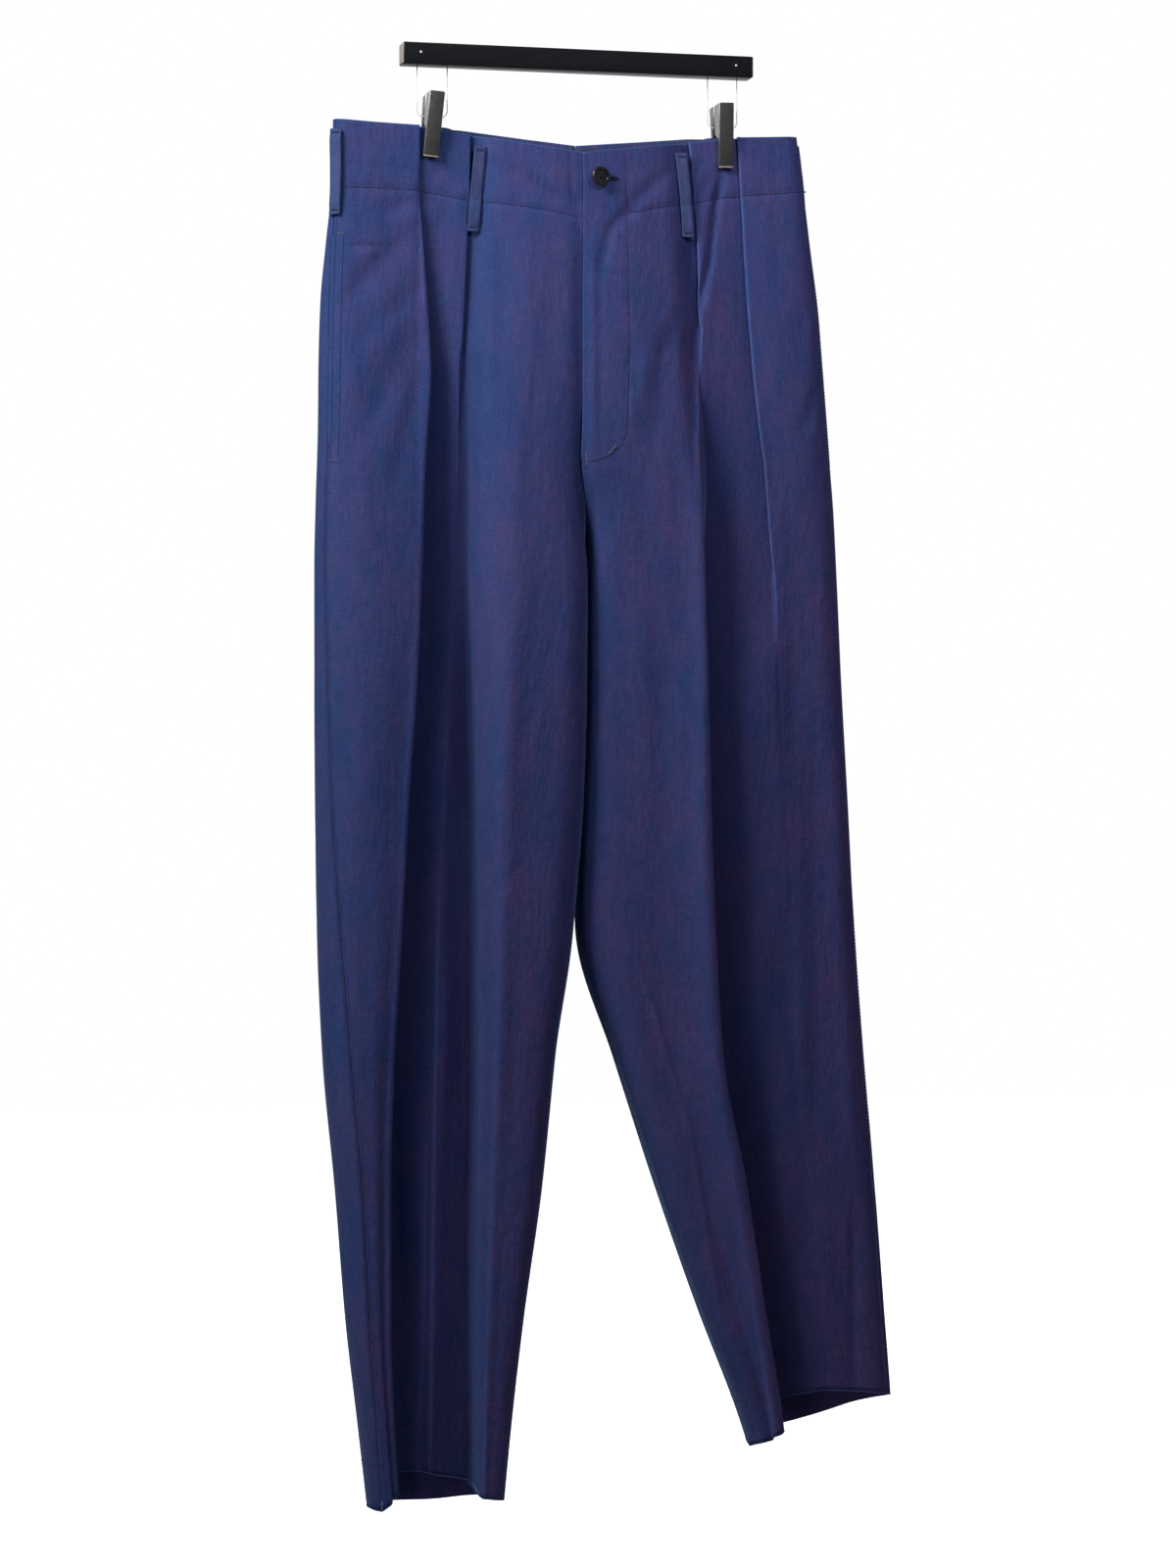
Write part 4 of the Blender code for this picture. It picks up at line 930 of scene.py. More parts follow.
# Seams draw the cloth in: places (x, z) along the front waist seam and the fly stitching.
WAIST_SEAM = {
    "right": ((-190, -113), (-163, -112.9), (-127.4, -113.3), (-108.9, -115.7), (-86.3, -119.7),
              (-73.3, -120.8), (-26.4, -126.4), (-2.6, -131)),
    "left": ((34, -126.8), (47.6, -124.5), (68.2, -119.5), (82.1, -117.9), (93.9, -115.2),
             (112.3, -110.7), (127.3, -109.1), (163.6, -106), (184, -103.1)),
}
FLY_SEAM = ((34.2, -80), (34.6, -150), (34.8, -228), (33.6, -267), (31.8, -298), (27.9, -307.7),
            (18.1, -316), (8, -319.6), (-1.5, -321))


SEAM_DEPTH, PUCKER, FLY_HALF = 0.75, 0.28, 3.2
FRONT_RIPPLE, BACK_RIPPLE = 0.42, 0.55


def drawn_in(x, z, leg, face):
    """The narrow trough along the seams, and the small puckers beside it."""
    if face == "back":
        off = z + 122.0
        fly = np.zeros_like(z)
    else:
        off = z - np.interp(x, *zip(*WAIST_SEAM[leg.name]))
        run = [spot for spot in FLY_SEAM if spot[0] > 27.0]
        at = np.interp(-z, [-low for _, low in run], [place for place, _ in run])
        fly = np.exp(-((x - at) / FLY_HALF) ** 2) * ((z > -306.0) & (z < -82.0)) * (leg is LEFT)
        fly *= 0.45 + 0.30 * np.sin(z / 3.1 + 1.7 * np.sin(z / 17.0))
        off = np.where((leg is LEFT) & (x < 34.0), 60.0, off)
    waves = np.sin(x / 2.3 + 1.9 * np.sin(x / 13.0))
    waves += 0.7 * np.sin(x / 3.7 + 2.2 * np.sin(x / 21.0))
    seam = SEAM_DEPTH * np.exp(-(off / 2.6) ** 2)
    above = np.exp(-((off - 6.0) / 6.5) ** 2)
    below = np.exp(-((off + 6.0) / 7.0) ** 2)
    return PUCKER * waves * (above + 0.8 * below) - seam - fly


FLY_FOOT = -318.0                       # below it the inseam is held as well as the side
HELD_AT_WAIST = 0.35                    # how much of a crease is left at the top edge
TOUCH_TOP, TOUCH_LOW, TOUCH_SHIFT = -385.0, -700.0, 0.55    # where the legs lie together


def settle(points, leg, face):
    """Moves points of one face by its creases; layers over one another move together."""
    panel = PANELS[leg, face]
    x, z = points[..., 0], points[..., 2]
    distance = leg.sign * x
    seam = np.interp(z, LEVELS, panel.table[:, 0, 0])
    inner = np.interp(z, LEVELS, panel.table[:, -1, 0])
    if face == "front":
        push = crease_height(FRONT_CREASES, x, z) + FRONT_RIPPLE * ripple(x, z, 5)
    else:
        push = crease_height(BACK_CREASES, x, z) + BACK_RIPPLE * ripple(x, z, 8)
    push += drawn_in(x, z, leg, face)

    def fade(reach, over):
        return ease_all(reach / over)

    on_leg = fade(FLY_FOOT - z, 60.0)
    hold = fade(seam - distance, 20.0) * (1.0 - on_leg * (1.0 - fade(distance - inner, 18.0)))
    hold *= HELD_AT_WAIST + (1.0 - HELD_AT_WAIST) * fade(-72.0 - z, 40.0)
    touching = fade(TOUCH_TOP - z, 30.0) * fade(z - TOUCH_LOW, 40.0)
    touching *= 1.0 - fade(distance - inner, 22.0)
    moved = points.copy()
    moved[..., 0] -= leg.sign * TOUCH_SHIFT * touching
    moved[..., 1] += push * hold * OUT[face]
    return moved


print("creases: front", len(FRONT_CREASES), "back", len(BACK_CREASES))

# %% [markdown]
# ## Sheets
# A sheet is a grid of points with faces between them, and a Solidify modifier gives it the
# wall of one layer of cotton.  Its texture map is laid in real metres: across is the length
# along the cloth, round every turn of a pleat, and up is the height.  The weave then keeps
# one size everywhere and doesn't swim over the folds.

# %% Cloth sheets
WALL = 0.6              # one layer of cotton
# 1 where a panel's columns run left to right, seen from outside, and -1 where they don't.
HAND = {(leg, face): OUT[face] * leg.sign for leg, face in SIDES}


def show(name, mesh, finish):
    made = bpy.data.objects.new(name, mesh)
    bpy.context.scene.collection.objects.link(made)
    mesh.materials.append(finish)
    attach(made, BODY)
    return made


def unit(vectors):
    """The same directions at length one."""
    return vectors / np.maximum(np.linalg.norm(vectors, axis=-1, keepdims=True), 1e-9)


def far_along(points):
    """How far along a line each of its points lies."""
    return np.concatenate([[0.0], np.cumsum(np.linalg.norm(np.diff(points, axis=0), axis=1))])


def smooth_mesh(name, points, faces, grain=None):
    """A smooth mesh from points in millimetres.  The grain is how far each point lies across
    and along the cloth, and becomes the texture map."""
    mesh = bpy.data.meshes.new(name)
    mesh.from_pydata((np.asarray(points).reshape(-1, 3) * MM).tolist(), [], faces)
    if grain is not None:
        used = np.empty(len(mesh.loops), dtype=np.int32)
        mesh.loops.foreach_get("vertex_index", used)
        spots = (np.stack(grain, -1).reshape(-1, 2) * MM)[used].astype(np.float32)
        mesh.uv_layers.new(name="grain").data.foreach_set("uv", spots.reshape(-1))
    mesh.shade_smooth()
    return mesh


def cloth_sheet(name, grid, flip, finish, grain_from=0):
    """A fine sheet through a grid of points in millimetres, shape (rows, columns, 3)."""
    rows, columns = grid.shape[:2]
    corner = np.arange(rows * columns).reshape(rows, columns)
    faces = np.stack([corner[:-1, :-1], corner[:-1, 1:], corner[1:, 1:], corner[1:, :-1]], -1)
    faces = faces.reshape(-1, 4)[:, ::-1 if flip else 1]
    steps = np.linalg.norm(np.diff(grid, axis=1), axis=2)
    across = np.pad(np.cumsum(steps, axis=1), ((0, 0), (1, 0)))
    across -= across[:, grain_from:grain_from + 1]
    down = np.linalg.norm(np.diff(grid, axis=0), axis=2)
    up = -np.pad(np.cumsum(down, axis=0), ((1, 0), (0, 0)))
    made = show(name, smooth_mesh(name, grid, faces.tolist(), (across, up)), finish)
    solid = made.modifiers.new("one layer of cotton", "SOLIDIFY")
    solid.thickness = WALL * MM
    solid.offset = -1.0
    solid.use_quality_normals = True
    return made


print("one layer of cotton in mm:", WALL)

# %% [markdown]
# ## The four panels
# Trousers are cut as two fronts and two backs.  Each is read from its plan table and settled
# by its creases.  The rows lie about four millimetres apart on the legs and less than two
# at the waist, where the seam puckers the cloth.  Each panel also keeps, point by point, how
# sharply it turns outwards and how far it lies behind the cloth around it: the cotton is
# painted darker deep in the folds, as painted shade, and lighter on the sharp outward turns,
# partly as wear on the pressed edges and partly as a painted highlight.

# %% Fronts and backs
ROWS = {"front": 300, "back": 240}
GRAIN_FROM = {"front": "enter2", "back": "mid"}     # the column the weave is laid from
FOLD_REACH, FULL_FOLD = 22.0, 4.5   # cloth a point is compared with, depth of a full fold
SIDE_SEAM = 12.0                    # the turn at the side seam, which isn't a fold


def panel_grid(leg, face):
    waist_rows = ROWS[face] // 4
    waist = np.linspace(0.0, 0.1, waist_rows)
    below = np.linspace(0.1, 1.0, ROWS[face] - waist_rows + 1)[1:]
    return settle(PANELS[leg, face].grid(np.concatenate([waist, below])), leg, face)


def painted_fold_shade(grid, face):
    """How deep each point lies in a fold, from 0 to 1, against the cloth around it; the cotton is
    painted darker by it, as painted shade.
    """
    deeper = -OUT[face] * grid[..., 1]
    apart = grid[:, :, None, 0] - grid[:, None, :, 0]
    near = np.exp(-(apart / FOLD_REACH) ** 2)
    around = (near * deeper[:, None, :]).sum(axis=2) / near.sum(axis=2)
    off_seam = (np.abs(grid[..., 0] - grid[:, :1, 0]) - SIDE_SEAM) / FOLD_REACH
    return ease_all((deeper - around) / FULL_FOLD) * np.clip(off_seam, 0.0, 1.0)


def pressed(grid, leg, face):
    """How sharply the cloth turns outwards across each point, from 0 to 1; the cotton is painted
    lighter there, partly as wear and partly as a painted highlight.
    """
    steps = np.diff(grid[..., :2], axis=1)
    turn = steps[:, :-1, 0] * steps[:, 1:, 1] - steps[:, :-1, 1] * steps[:, 1:, 0]
    sizes = np.linalg.norm(steps, axis=2)
    before, after = sizes[:, :-1], sizes[:, 1:]
    bend = turn / np.maximum(before * after * (before + after) / 2, 1e-6) * HAND[leg, face]
    return np.pad(np.clip(bend * 1.6 - 0.15, 0.0, 1.0), ((0, 0), (1, 1)))


GRIDS = {(leg, face): panel_grid(leg, face) for leg, face in SIDES}
for (leg, face), grid in GRIDS.items():
    piece = cloth_sheet("cloth_%s_%s" % (face, leg.name), grid, HAND[leg, face] > 0, cotton,
                        PANELS[leg, face].column(GRAIN_FROM[face]))
    # The fold mark paints shade into the cotton deep in the folds; the pressed mark paints the
    # sharp outward turns lighter, partly as wear and partly as a painted highlight.
    for mark, values in (("fold", painted_fold_shade(grid, face)), ("pressed", pressed(grid, leg, face))):
        kept = piece.data.attributes.new(mark, "FLOAT", "POINT")
        kept.data.foreach_set("value", values.astype(np.float32).reshape(-1))
    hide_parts("%s_%s" % (face, leg.name))

# %% [markdown]
# ## Facings, fly and pocket backs
# These pieces lie behind the panels: a band round the inside of the waist, the two layers
# under the fly and the strip seen in the slit of each side pocket.  They could be separate
# drapes, but they must never cut through the panel in front.  So each one is read from the
# same tables, set back by one wall and a little air, and settled by the same creases.

# %% Bands behind a panel
BEHIND = WALL + 0.35    # one wall and a little air


def inward(run, k, distance):
    """A point of a run moved square to it, into the leg."""
    before, after = run[max(0, k - 1)], run[min(len(run) - 1, k + 1)]
    way = Vector((after[0] - before[0], after[1] - before[1])).normalized()
    return (run[k][0] + way.y * distance, run[k][1] - way.x * distance)


def set_back(grid, distance, leg, face):
    """A grid moved square to its own surface, towards the inside of the garment."""
    square = np.cross(np.gradient(grid, axis=1), np.gradient(grid, axis=0))
    return grid + unit(square) * distance * HAND[leg, face]


def inner_sheet(name, grid, flip, node):
    """Makes an inner piece and hides the solid it replaces."""
    # The inner cotton is painted darker than the panels' cotton, as painted shade.
    piece = cloth_sheet(name, grid, flip, inner_cotton)
    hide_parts(node)


print("inner pieces lie behind the panels by mm:", round(BEHIND, 2))


# %% Waist facings
FACING_DROP, FACING_HEIGHT = 0.8, 47.5
# Where the band runs past the pleats: a turn, how far outside it, and the depth it keeps.
PAST_PLEATS = (("out1", 6.0, "lip1"), ("out1", 2.4, "floor1"),
               ("out2", 6.0, "floor1"), ("out2", 2.4, "foot2"))


def front_facing(leg, reach):
    """The band behind a front; it follows the cloth, but runs straight past the pleats."""
    panel = PANELS[leg, "front"]
    outer, clear = panel.column("outer"), panel.column("clear2")
    side = list(range(2, outer + 1, 2))
    columns = side + [outer + 4] * len(PAST_PLEATS) + list(range(clear, clear + reach + 1, 2))
    past = dict(enumerate(PAST_PLEATS, len(side)))
    rows = []
    for part in np.linspace(0.0, 1.0, 12):
        row = []
        for k, column in enumerate(columns):
            z = panel.tops[column] - FACING_DROP - FACING_HEIGHT * part
            if k in past:
                turn, outside, depth = past[k]
                distance = leg.plan_at(z)[turn] + outside
                y = leg.depth.at(z)[depth] + BEHIND
            else:
                distance, y = inward(list(zip(*panel.at_level(z))), column, BEHIND)
            row.append((leg.sign * distance, y, z))
        rows.append(row)
    return settle(np.array(rows), leg, "front")


for leg, reach in ((RIGHT, 26), (LEFT, 10)):
    inner_sheet("waist_facing_front_" + leg.name, front_facing(leg, reach), leg is RIGHT,
                "facing_front_" + leg.name)
    grid = PANELS[leg, "back"].grid(np.linspace(0.0008, 0.046, 14), first=2)
    grid = set_back(settle(grid, leg, "back"), BEHIND, leg, "back")
    inner_sheet("waist_facing_back_" + leg.name, grid, leg is LEFT, "facing_back_" + leg.name)


# %% Fly facing and fly shield
FLY_WIDTH, FLY_BOTTOM, FLY_CURVE = 34.0, -318.0, 24.0
FLY_FACING_BACK, FLY_SHIELD_BACK = 1.35, 4.15       # how far behind the left front


def fly_width(z):
    """The fly stitching runs straight down, then curves in to the lap edge."""
    over = (FLY_BOTTOM + FLY_CURVE - z) / FLY_CURVE
    if over <= 0.0:
        return FLY_WIDTH
    return 4.0 + (FLY_WIDTH - 4.0) * math.sqrt(max(0.0, 1.0 - over * over))


def along_lap(z, reaches, away):
    """Points at distances in from the left front's lap edge, moved behind it."""
    past_edge = 20.0
    path, _ = smooth_path([point for _, point in LEFT.front(z)])
    path = path[::-1]
    tangent = Vector(path[0]) - Vector(path[3])
    path = [tuple(Vector(path[0]) + tangent.normalized() * past_edge)] + path
    points = []
    for reach in reaches:
        rest = trimmed(path, past_edge + reach)
        run = Vector((rest[1][0] - rest[0][0], rest[1][1] - rest[0][1])).normalized()
        points.append((rest[0][0] - run.y * away, rest[0][1] + run.x * away, z))
    return points


heights = [mix(-84.0, -296.0, k / 30) for k in range(31)]
heights += [-300.0, -304.0, -308.0, -312.0, -316.0]
grid = np.array([along_lap(z, [mix(0.4, fly_width(z), k / 12) for k in range(13)],
                           FLY_FACING_BACK + 0.9 * ease((-255.0 - z) / 45.0)) for z in heights])
inner_sheet("fly_facing_fine", settle(grid, LEFT, "front"), True, "fly_facing")
heights = [mix(-84.5, -276.0, k / 30) for k in range(31)]
grid = np.array([along_lap(z, [mix(-7.0, FLY_WIDTH + 2.0, k / 14) for k in range(15)],
                           FLY_SHIELD_BACK) for z in heights])
inner_sheet("fly_shield_fine", settle(grid, LEFT, "front"), True, "fly_shield")


# %% Pocket backs
POCKET_PARTS = np.linspace(0.0886, 0.240, 40)       # of the way from the waist to the hem


def pocket_half(leg, face, columns):
    grid = settle(PANELS[leg, face].grid(POCKET_PARTS), leg, face)
    return set_back(grid, BEHIND, leg, face)[:, columns]


for leg in (RIGHT, LEFT):
    halves = [pocket_half(leg, "back", [7, 5, 3, 2]), pocket_half(leg, "front", [2, 3, 5, 7])]
    inner_sheet("pocket_back_" + leg.name, np.concatenate(halves, axis=1), leg is RIGHT,
                "pocket_facing_" + leg.name)

# %% [markdown]
# ## Folded edges
# A raw cloth edge is never left open on a garment: at the waist, the fly, the pocket mouths
# and the hems it is turned in, and the fold catches the light as a bright thin line, mostly
# in the blue yarn.  A bevel on a sheet of half a millimetre can't give that, so a fine roll
# runs along each of those edges, and its cotton is painted lighter and bluer than the
# panels' as a painted highlight.

# %% Rolled edge
# The rolled edges get the yarns painted lighter and bluer, as a painted highlight.
edge_highlight_cotton = shot_cotton("edge_highlight_cotton", 0.7, (0.045, 0.125, 0.340), (0.060, 0.080, 0.250), 0.5)


def tube_faces(rings, sides):
    """Faces of a tube through rings of points, with both ends closed."""
    number = np.arange(rings * sides).reshape(rings, sides)
    after = np.roll(number, -1, axis=1)
    walls = np.stack([number[:-1], after[:-1], after[1:], number[1:]], -1).reshape(-1, 4)
    return walls.tolist() + [number[0][::-1].tolist(), number[-1].tolist()]


def sweep(name, path, radius, sides, finish, up=(0.0, -1.0, 0.0)):
    """A tube along a path of points in millimetres."""
    path = np.asarray(path, float)
    run = unit(np.gradient(path, axis=0))
    side = np.cross(run, np.broadcast_to(np.asarray(up, float), run.shape))
    weak = np.linalg.norm(side, axis=1) < 0.2
    side[weak] = np.cross(run[weak], np.array([1.0, 0.0, 0.0]))
    side = unit(side)
    top = np.cross(side, run)
    turn = np.arange(sides) * 2.0 * math.pi / sides
    ring = path[:, None] + radius * (side[:, None] * np.cos(turn)[None, :, None]
                                     + top[:, None] * np.sin(turn)[None, :, None])
    grain = np.broadcast_arrays(turn * radius, far_along(path)[:, None])
    mesh = smooth_mesh(name, ring, tube_faces(len(path), sides), grain)
    return show(name, mesh, finish)


def mesh_from(bm, name, sharp=None):
    """Ends a bmesh as a smooth mesh; edges sharper than an angle in degrees can stay sharp."""
    mesh = bpy.data.meshes.new(name)
    bm.to_mesh(mesh)
    bm.free()
    mesh.shade_smooth()
    if sharp:
        mesh.set_sharp_from_angle(angle=math.radians(sharp))
    return mesh


def joined(name, pieces):
    """Puts several pieces of one finish into a single piece."""
    bm = bmesh.new()
    for piece in pieces:
        bm.from_mesh(piece.data)
    finish = pieces[0].data.materials[0]
    for piece in pieces:
        bpy.data.objects.remove(piece)
    return show(name, mesh_from(bm, name), finish)


def edge_roll(name, path, radius):
    piece = sweep(name, path, radius, 6, edge_highlight_cotton)
    return piece


POCKET_MIDDLE, POCKET_HALF = -232.0, 82.0
for (leg, face), grid in GRIDS.items():
    inside = set_back(grid, WALL / 2, leg, face)
    edge_roll("top_fold_%s_%s" % (face, leg.name), inside[0], 0.48)
    edge_roll("hem_fold_%s_%s" % (face, leg.name), inside[-1], 0.55)
    if face == "front":
        mouth = np.abs(inside[:, 0, 2] - POCKET_MIDDLE) < POCKET_HALF
        edge_roll("pocket_fold_" + leg.name, inside[mouth, 0] + [0.0, -0.25, 0.0], 0.5)
        if leg is LEFT:
            edge_roll("fly_fold", inside[inside[:, -1, 2] > FLY_BOTTOM - 4.0, -1], 0.5)

# %% [markdown]
# ## Stitching
# Seams read at arm's length as rows of small dots: each stitch dips into the cloth at both
# ends and bulges between.  They could be painted, but then they would have no shadow.  Each
# stitch is a short seed-shaped body; one function lays them along a line on the cloth,
# at the pitch of the machine.  A row needs the line's points and the way the cloth faces.

# %% Thread
def thread_of(name, dark, pale):
    """Spun thread, mottled between two colours."""
    finish, tree, shader = new_finish(name)
    twist = noise_of(tree, tree.nodes.new("ShaderNodeTexCoord").outputs["Object"], 1800.0, 1.0)
    feed(tree, shader, Base_Color=blended(tree, span(tree, twist, 0.3, 0.7), dark, pale),
         Roughness=span(tree, twist, 0.0, 1.0, 0.5, 0.75))
    return finish


thread = thread_of("sewing_thread", (0.006, 0.012, 0.045), (0.024, 0.034, 0.100))
pale_thread = thread_of("pale_thread", (0.05, 0.055, 0.12), (0.14, 0.15, 0.22))
dark_thread = thread_of("buttonhole_thread", (0.006, 0.008, 0.022), (0.020, 0.024, 0.055))

# The form of one stitch, ring by ring: place along its length, size, and how high it lies.
STITCH = np.array([(-0.5, 0.35, -0.8), (-0.28, 1.0, 0.35), (0.28, 1.0, 0.35), (0.5, 0.35, -0.8)])
STITCH_SIDES = 6


def stitches(name, rows, pitch, length, radius, finish=thread, turned=False):
    """Seed-shaped stitches along rows; a row is (points, facings), in millimetres.  Turned
    stitches lie across their row, as in a bar tack."""
    centres, ways, facings = [], [], []
    for points, square in rows:
        points, square = np.asarray(points, float), np.asarray(square, float)
        far = far_along(points)
        wanted = np.arange(pitch / 2, far[-1], pitch)
        if not len(wanted):
            continue

        def at(places, values):
            return np.stack([np.interp(places, far, values[:, k]) for k in range(3)], -1)

        up = unit(at(wanted, square))
        way = unit(at(wanted + 0.3, points) - at(wanted - 0.3, points))
        centres.append(at(wanted, points))
        ways.append(np.cross(way, up) if turned else way)
        facings.append(up)
    centre, way, up = np.concatenate(centres), np.concatenate(ways), np.concatenate(facings)
    side = np.cross(way, up)
    stops, sizes, sinks = STITCH[:, 0] * length, STITCH[:, 1] * radius, STITCH[:, 2] * radius
    turn = np.arange(STITCH_SIDES) * 2.0 * math.pi / STITCH_SIDES
    rise = sinks[:, None] + sizes[:, None] * np.sin(turn)
    spread = sizes[:, None] * np.cos(turn)
    shape = (centre[:, None, None] + way[:, None, None] * stops[None, :, None, None]
             + up[:, None, None] * rise[None, :, :, None]
             + side[:, None, None] * spread[None, :, :, None])
    one = tube_faces(len(STITCH), STITCH_SIDES)
    points_each = len(STITCH) * STITCH_SIDES
    faces = [[points_each * k + v for v in face] for k in range(len(centre)) for face in one]
    piece = show(name, smooth_mesh(name, shape, faces), finish)
    print(name, "stitches:", len(centre))


# %% Painted shade under the stitches
# The strip under each stitch row is a darker copy of the cotton: painted shade in the seam's
# groove.
groove_shade_cotton = shot_cotton("groove_shade_cotton", 0.6, (0.014, 0.028, 0.100),
                            (0.026, 0.018, 0.072), 0.5)
print("finish:", groove_shade_cotton.name)


def groove_shadows(name, rows, radius):
    """The drawn-in line under a row of stitches, as a dark strip sunk in the cloth: painted shade
    along the seam.
    """
    sunk = [points - square * radius * 0.72 for points, square in rows]
    piece = joined(name, [sweep(name, path, radius, 6, groove_shade_cotton) for path in sunk])


# %% Lines on the cloth
def middle_of(lines, leg, face):
    """The middle one of three lines side by side on a panel, with the facings along it."""
    before, line, after = [settle(np.array(points), leg, face) for points in lines]
    return line, -HAND[leg, face] * unit(np.cross(np.gradient(line, axis=0), after - before))


def level_line(leg, face, heights):
    """A line round a panel through every column, at one height for each column."""
    table = PANELS[leg, face].table
    return middle_of([[(leg.sign * np.interp(z, LEVELS, table[:, k, 0]),
                        np.interp(z, LEVELS, table[:, k, 1]), z)
                       for k, z in enumerate(heights + shift)]
                      for shift in (2.0, 0.0, -2.0)], leg, face)


def seam_line(leg, face, reach, z_top, z_low):
    """A line beside the side seam, at a distance in from it along the cloth."""
    panel = PANELS[leg, face]
    lines = []
    for shift in (-0.8, 0.0, 0.8):
        line = []
        for z in np.arange(z_top, z_low, -4.0):
            distance, depth = panel.at_level(z)
            far = far_along(np.stack([distance, depth], -1))
            line.append((leg.sign * np.interp(reach + shift, far, distance),
                         np.interp(reach + shift, far, depth), z))
        lines.append(line)
    line, square = middle_of(lines, leg, face)
    return line, -square


def shown_line(leg, face, places, lift=0.0):
    """A line over the layer that shows, through (x, z) places in millimetres."""
    panel, out = PANELS[leg, face], OUT[face]
    ends = np.asarray(places, float)
    far = far_along(ends)
    at = np.arange(0.0, far[-1], 1.0)
    x, z = np.interp(at, far, ends[:, 0]), np.interp(at, far, ends[:, 1])

    def on(x, z):
        y = np.array([panel.outer_layer(a, b) for a, b in zip(x, z)])
        return settle(np.stack([x, y, z], -1), leg, face)

    line = on(x, z)
    dx = np.clip((on(x + 0.7, z) - on(x - 0.7, z))[:, 1] / 1.4, -1, 1)
    dz = np.clip((on(x, z + 0.7) - on(x, z - 0.7))[:, 1] / 1.4, -1, 1)
    line[:, 1] += out * lift
    return line, unit(np.stack([-out * dx, np.full_like(dx, out), -out * dz], -1))


for leg in (RIGHT, LEFT):
    waist_line, _ = shown_line(leg, "front", WAIST_SEAM[leg.name])
    print(leg.name, "front waist seam in mm:", round(far_along(waist_line)[-1]))


# %% Waist, fly, pocket, seam and hem rows
rows = [shown_line(leg, "front", WAIST_SEAM[leg.name]) for leg in (RIGHT, LEFT)]
rows.append(shown_line(LEFT, "front", FLY_SEAM))
rows.append(shown_line(LEFT, "front", [(34, -127.5), (26, -129.5)]))
stitches("waist_and_fly_stitches", rows, 2.6, 1.8, 0.36)
groove_shadows("waist_and_fly_groove_shadows", rows, 0.55)
rows = [level_line(leg, "back", PANELS[leg, "back"].tops - 47.0) for leg in (RIGHT, LEFT)]
stitches("back_waist_stitches", rows, 2.6, 1.8, 0.34)
groove_shadows("back_waist_groove_shadows", rows, 0.42)
rows = [seam_line(leg, "front", reach, top, -322.0)
        for leg in (RIGHT, LEFT) for reach, top in ((2.2, -133.0), (8.2, -151.0))]
stitches("pocket_stitches", rows, 2.6, 1.8, 0.32)
groove_shadows("pocket_groove_shadows", rows, 0.36)
SIDE_ROW_TOP = {"front": -322.0, "back": -150.0}    # the front's starts under its pocket
rows = [seam_line(leg, face, 1.6, SIDE_ROW_TOP[face], -1030.0) for leg, face in SIDES]
stitches("side_seam_stitches", rows, 2.9, 1.9, 0.28)
rows = [level_line(leg, face, PANELS[leg, face].hems + 35.0) for leg, face in SIDES]
stitches("hem_stitches", rows, 3.4, 1.5, 0.28)

# %% [markdown]
# ## Belt loops
# A belt loop is a narrow strip, sewn to the waist at its two folded ends and free between
# them, so it stands off the cloth by a millimetre or two and throws a thin shadow.  Each
# one is swept down the waist in front of the layer that shows there, with its ends turned
# under, and two rows of stitches run down its edges.

# %% Belt loop strips
LOOP_WIDTH, LOOP_LENGTH = 9.5, 65.0
LOOP_STEPS = 46
# The strip's section, point by point: place across its half width, place in its thickness.
LOOP_SECTION = ((-1.0, 0.35), (-0.97, 0.85), (-0.8, 1.0), (-0.35, 0.93), (0.35, 0.93),
                (0.8, 1.0), (0.97, 0.85), (1.0, 0.35), (0.9, 0.0), (-0.9, 0.0))
# The loops get the cotton with lighter yarns than the panels: a painted highlight on the strips
# that stand proud.
loop_highlight_cotton = shot_cotton("loop_highlight_cotton", 0.9, (0.046, 0.078, 0.215), (0.082, 0.062, 0.175))


def loop_line(leg, face, top, low, z, part):
    """Middle, outward way and width way of a loop at one height."""
    place = mix(top, low, part)
    if face == "side":
        p, y, behind = leg.plan_at(z), leg.depth.at(z), leg.back.at(z)
        near = [leg.side_turn(p, y, behind, place + turn) for turn in (6.0, 0.0, -6.0)]
        out = inward(near, 1, -1.0)
        way = Vector((leg.sign * (out[0] - near[1][0]), out[1] - near[1][1], 0.0)).normalized()
        middle = Vector((leg.sign * near[1][0], near[1][1], z))
        return middle + way * 0.7, way, Vector((-way.y, way.x, 0.0)) * leg.sign
    spots = []
    for across in (-4.6, -2.3, 0.0, 2.3, 4.6):
        x = leg.sign * (place + across)
        spots.append((x, PANELS[leg, face].outer_layer(x, z), z))
    depth = (settle(np.array(spots), leg, face)[:, 1] * OUT[face]).max() * OUT[face]
    return (Vector((leg.sign * place, depth, z)), Vector((0.0, OUT[face], 0.0)),
            Vector((leg.sign, 0.0, 0.0)))


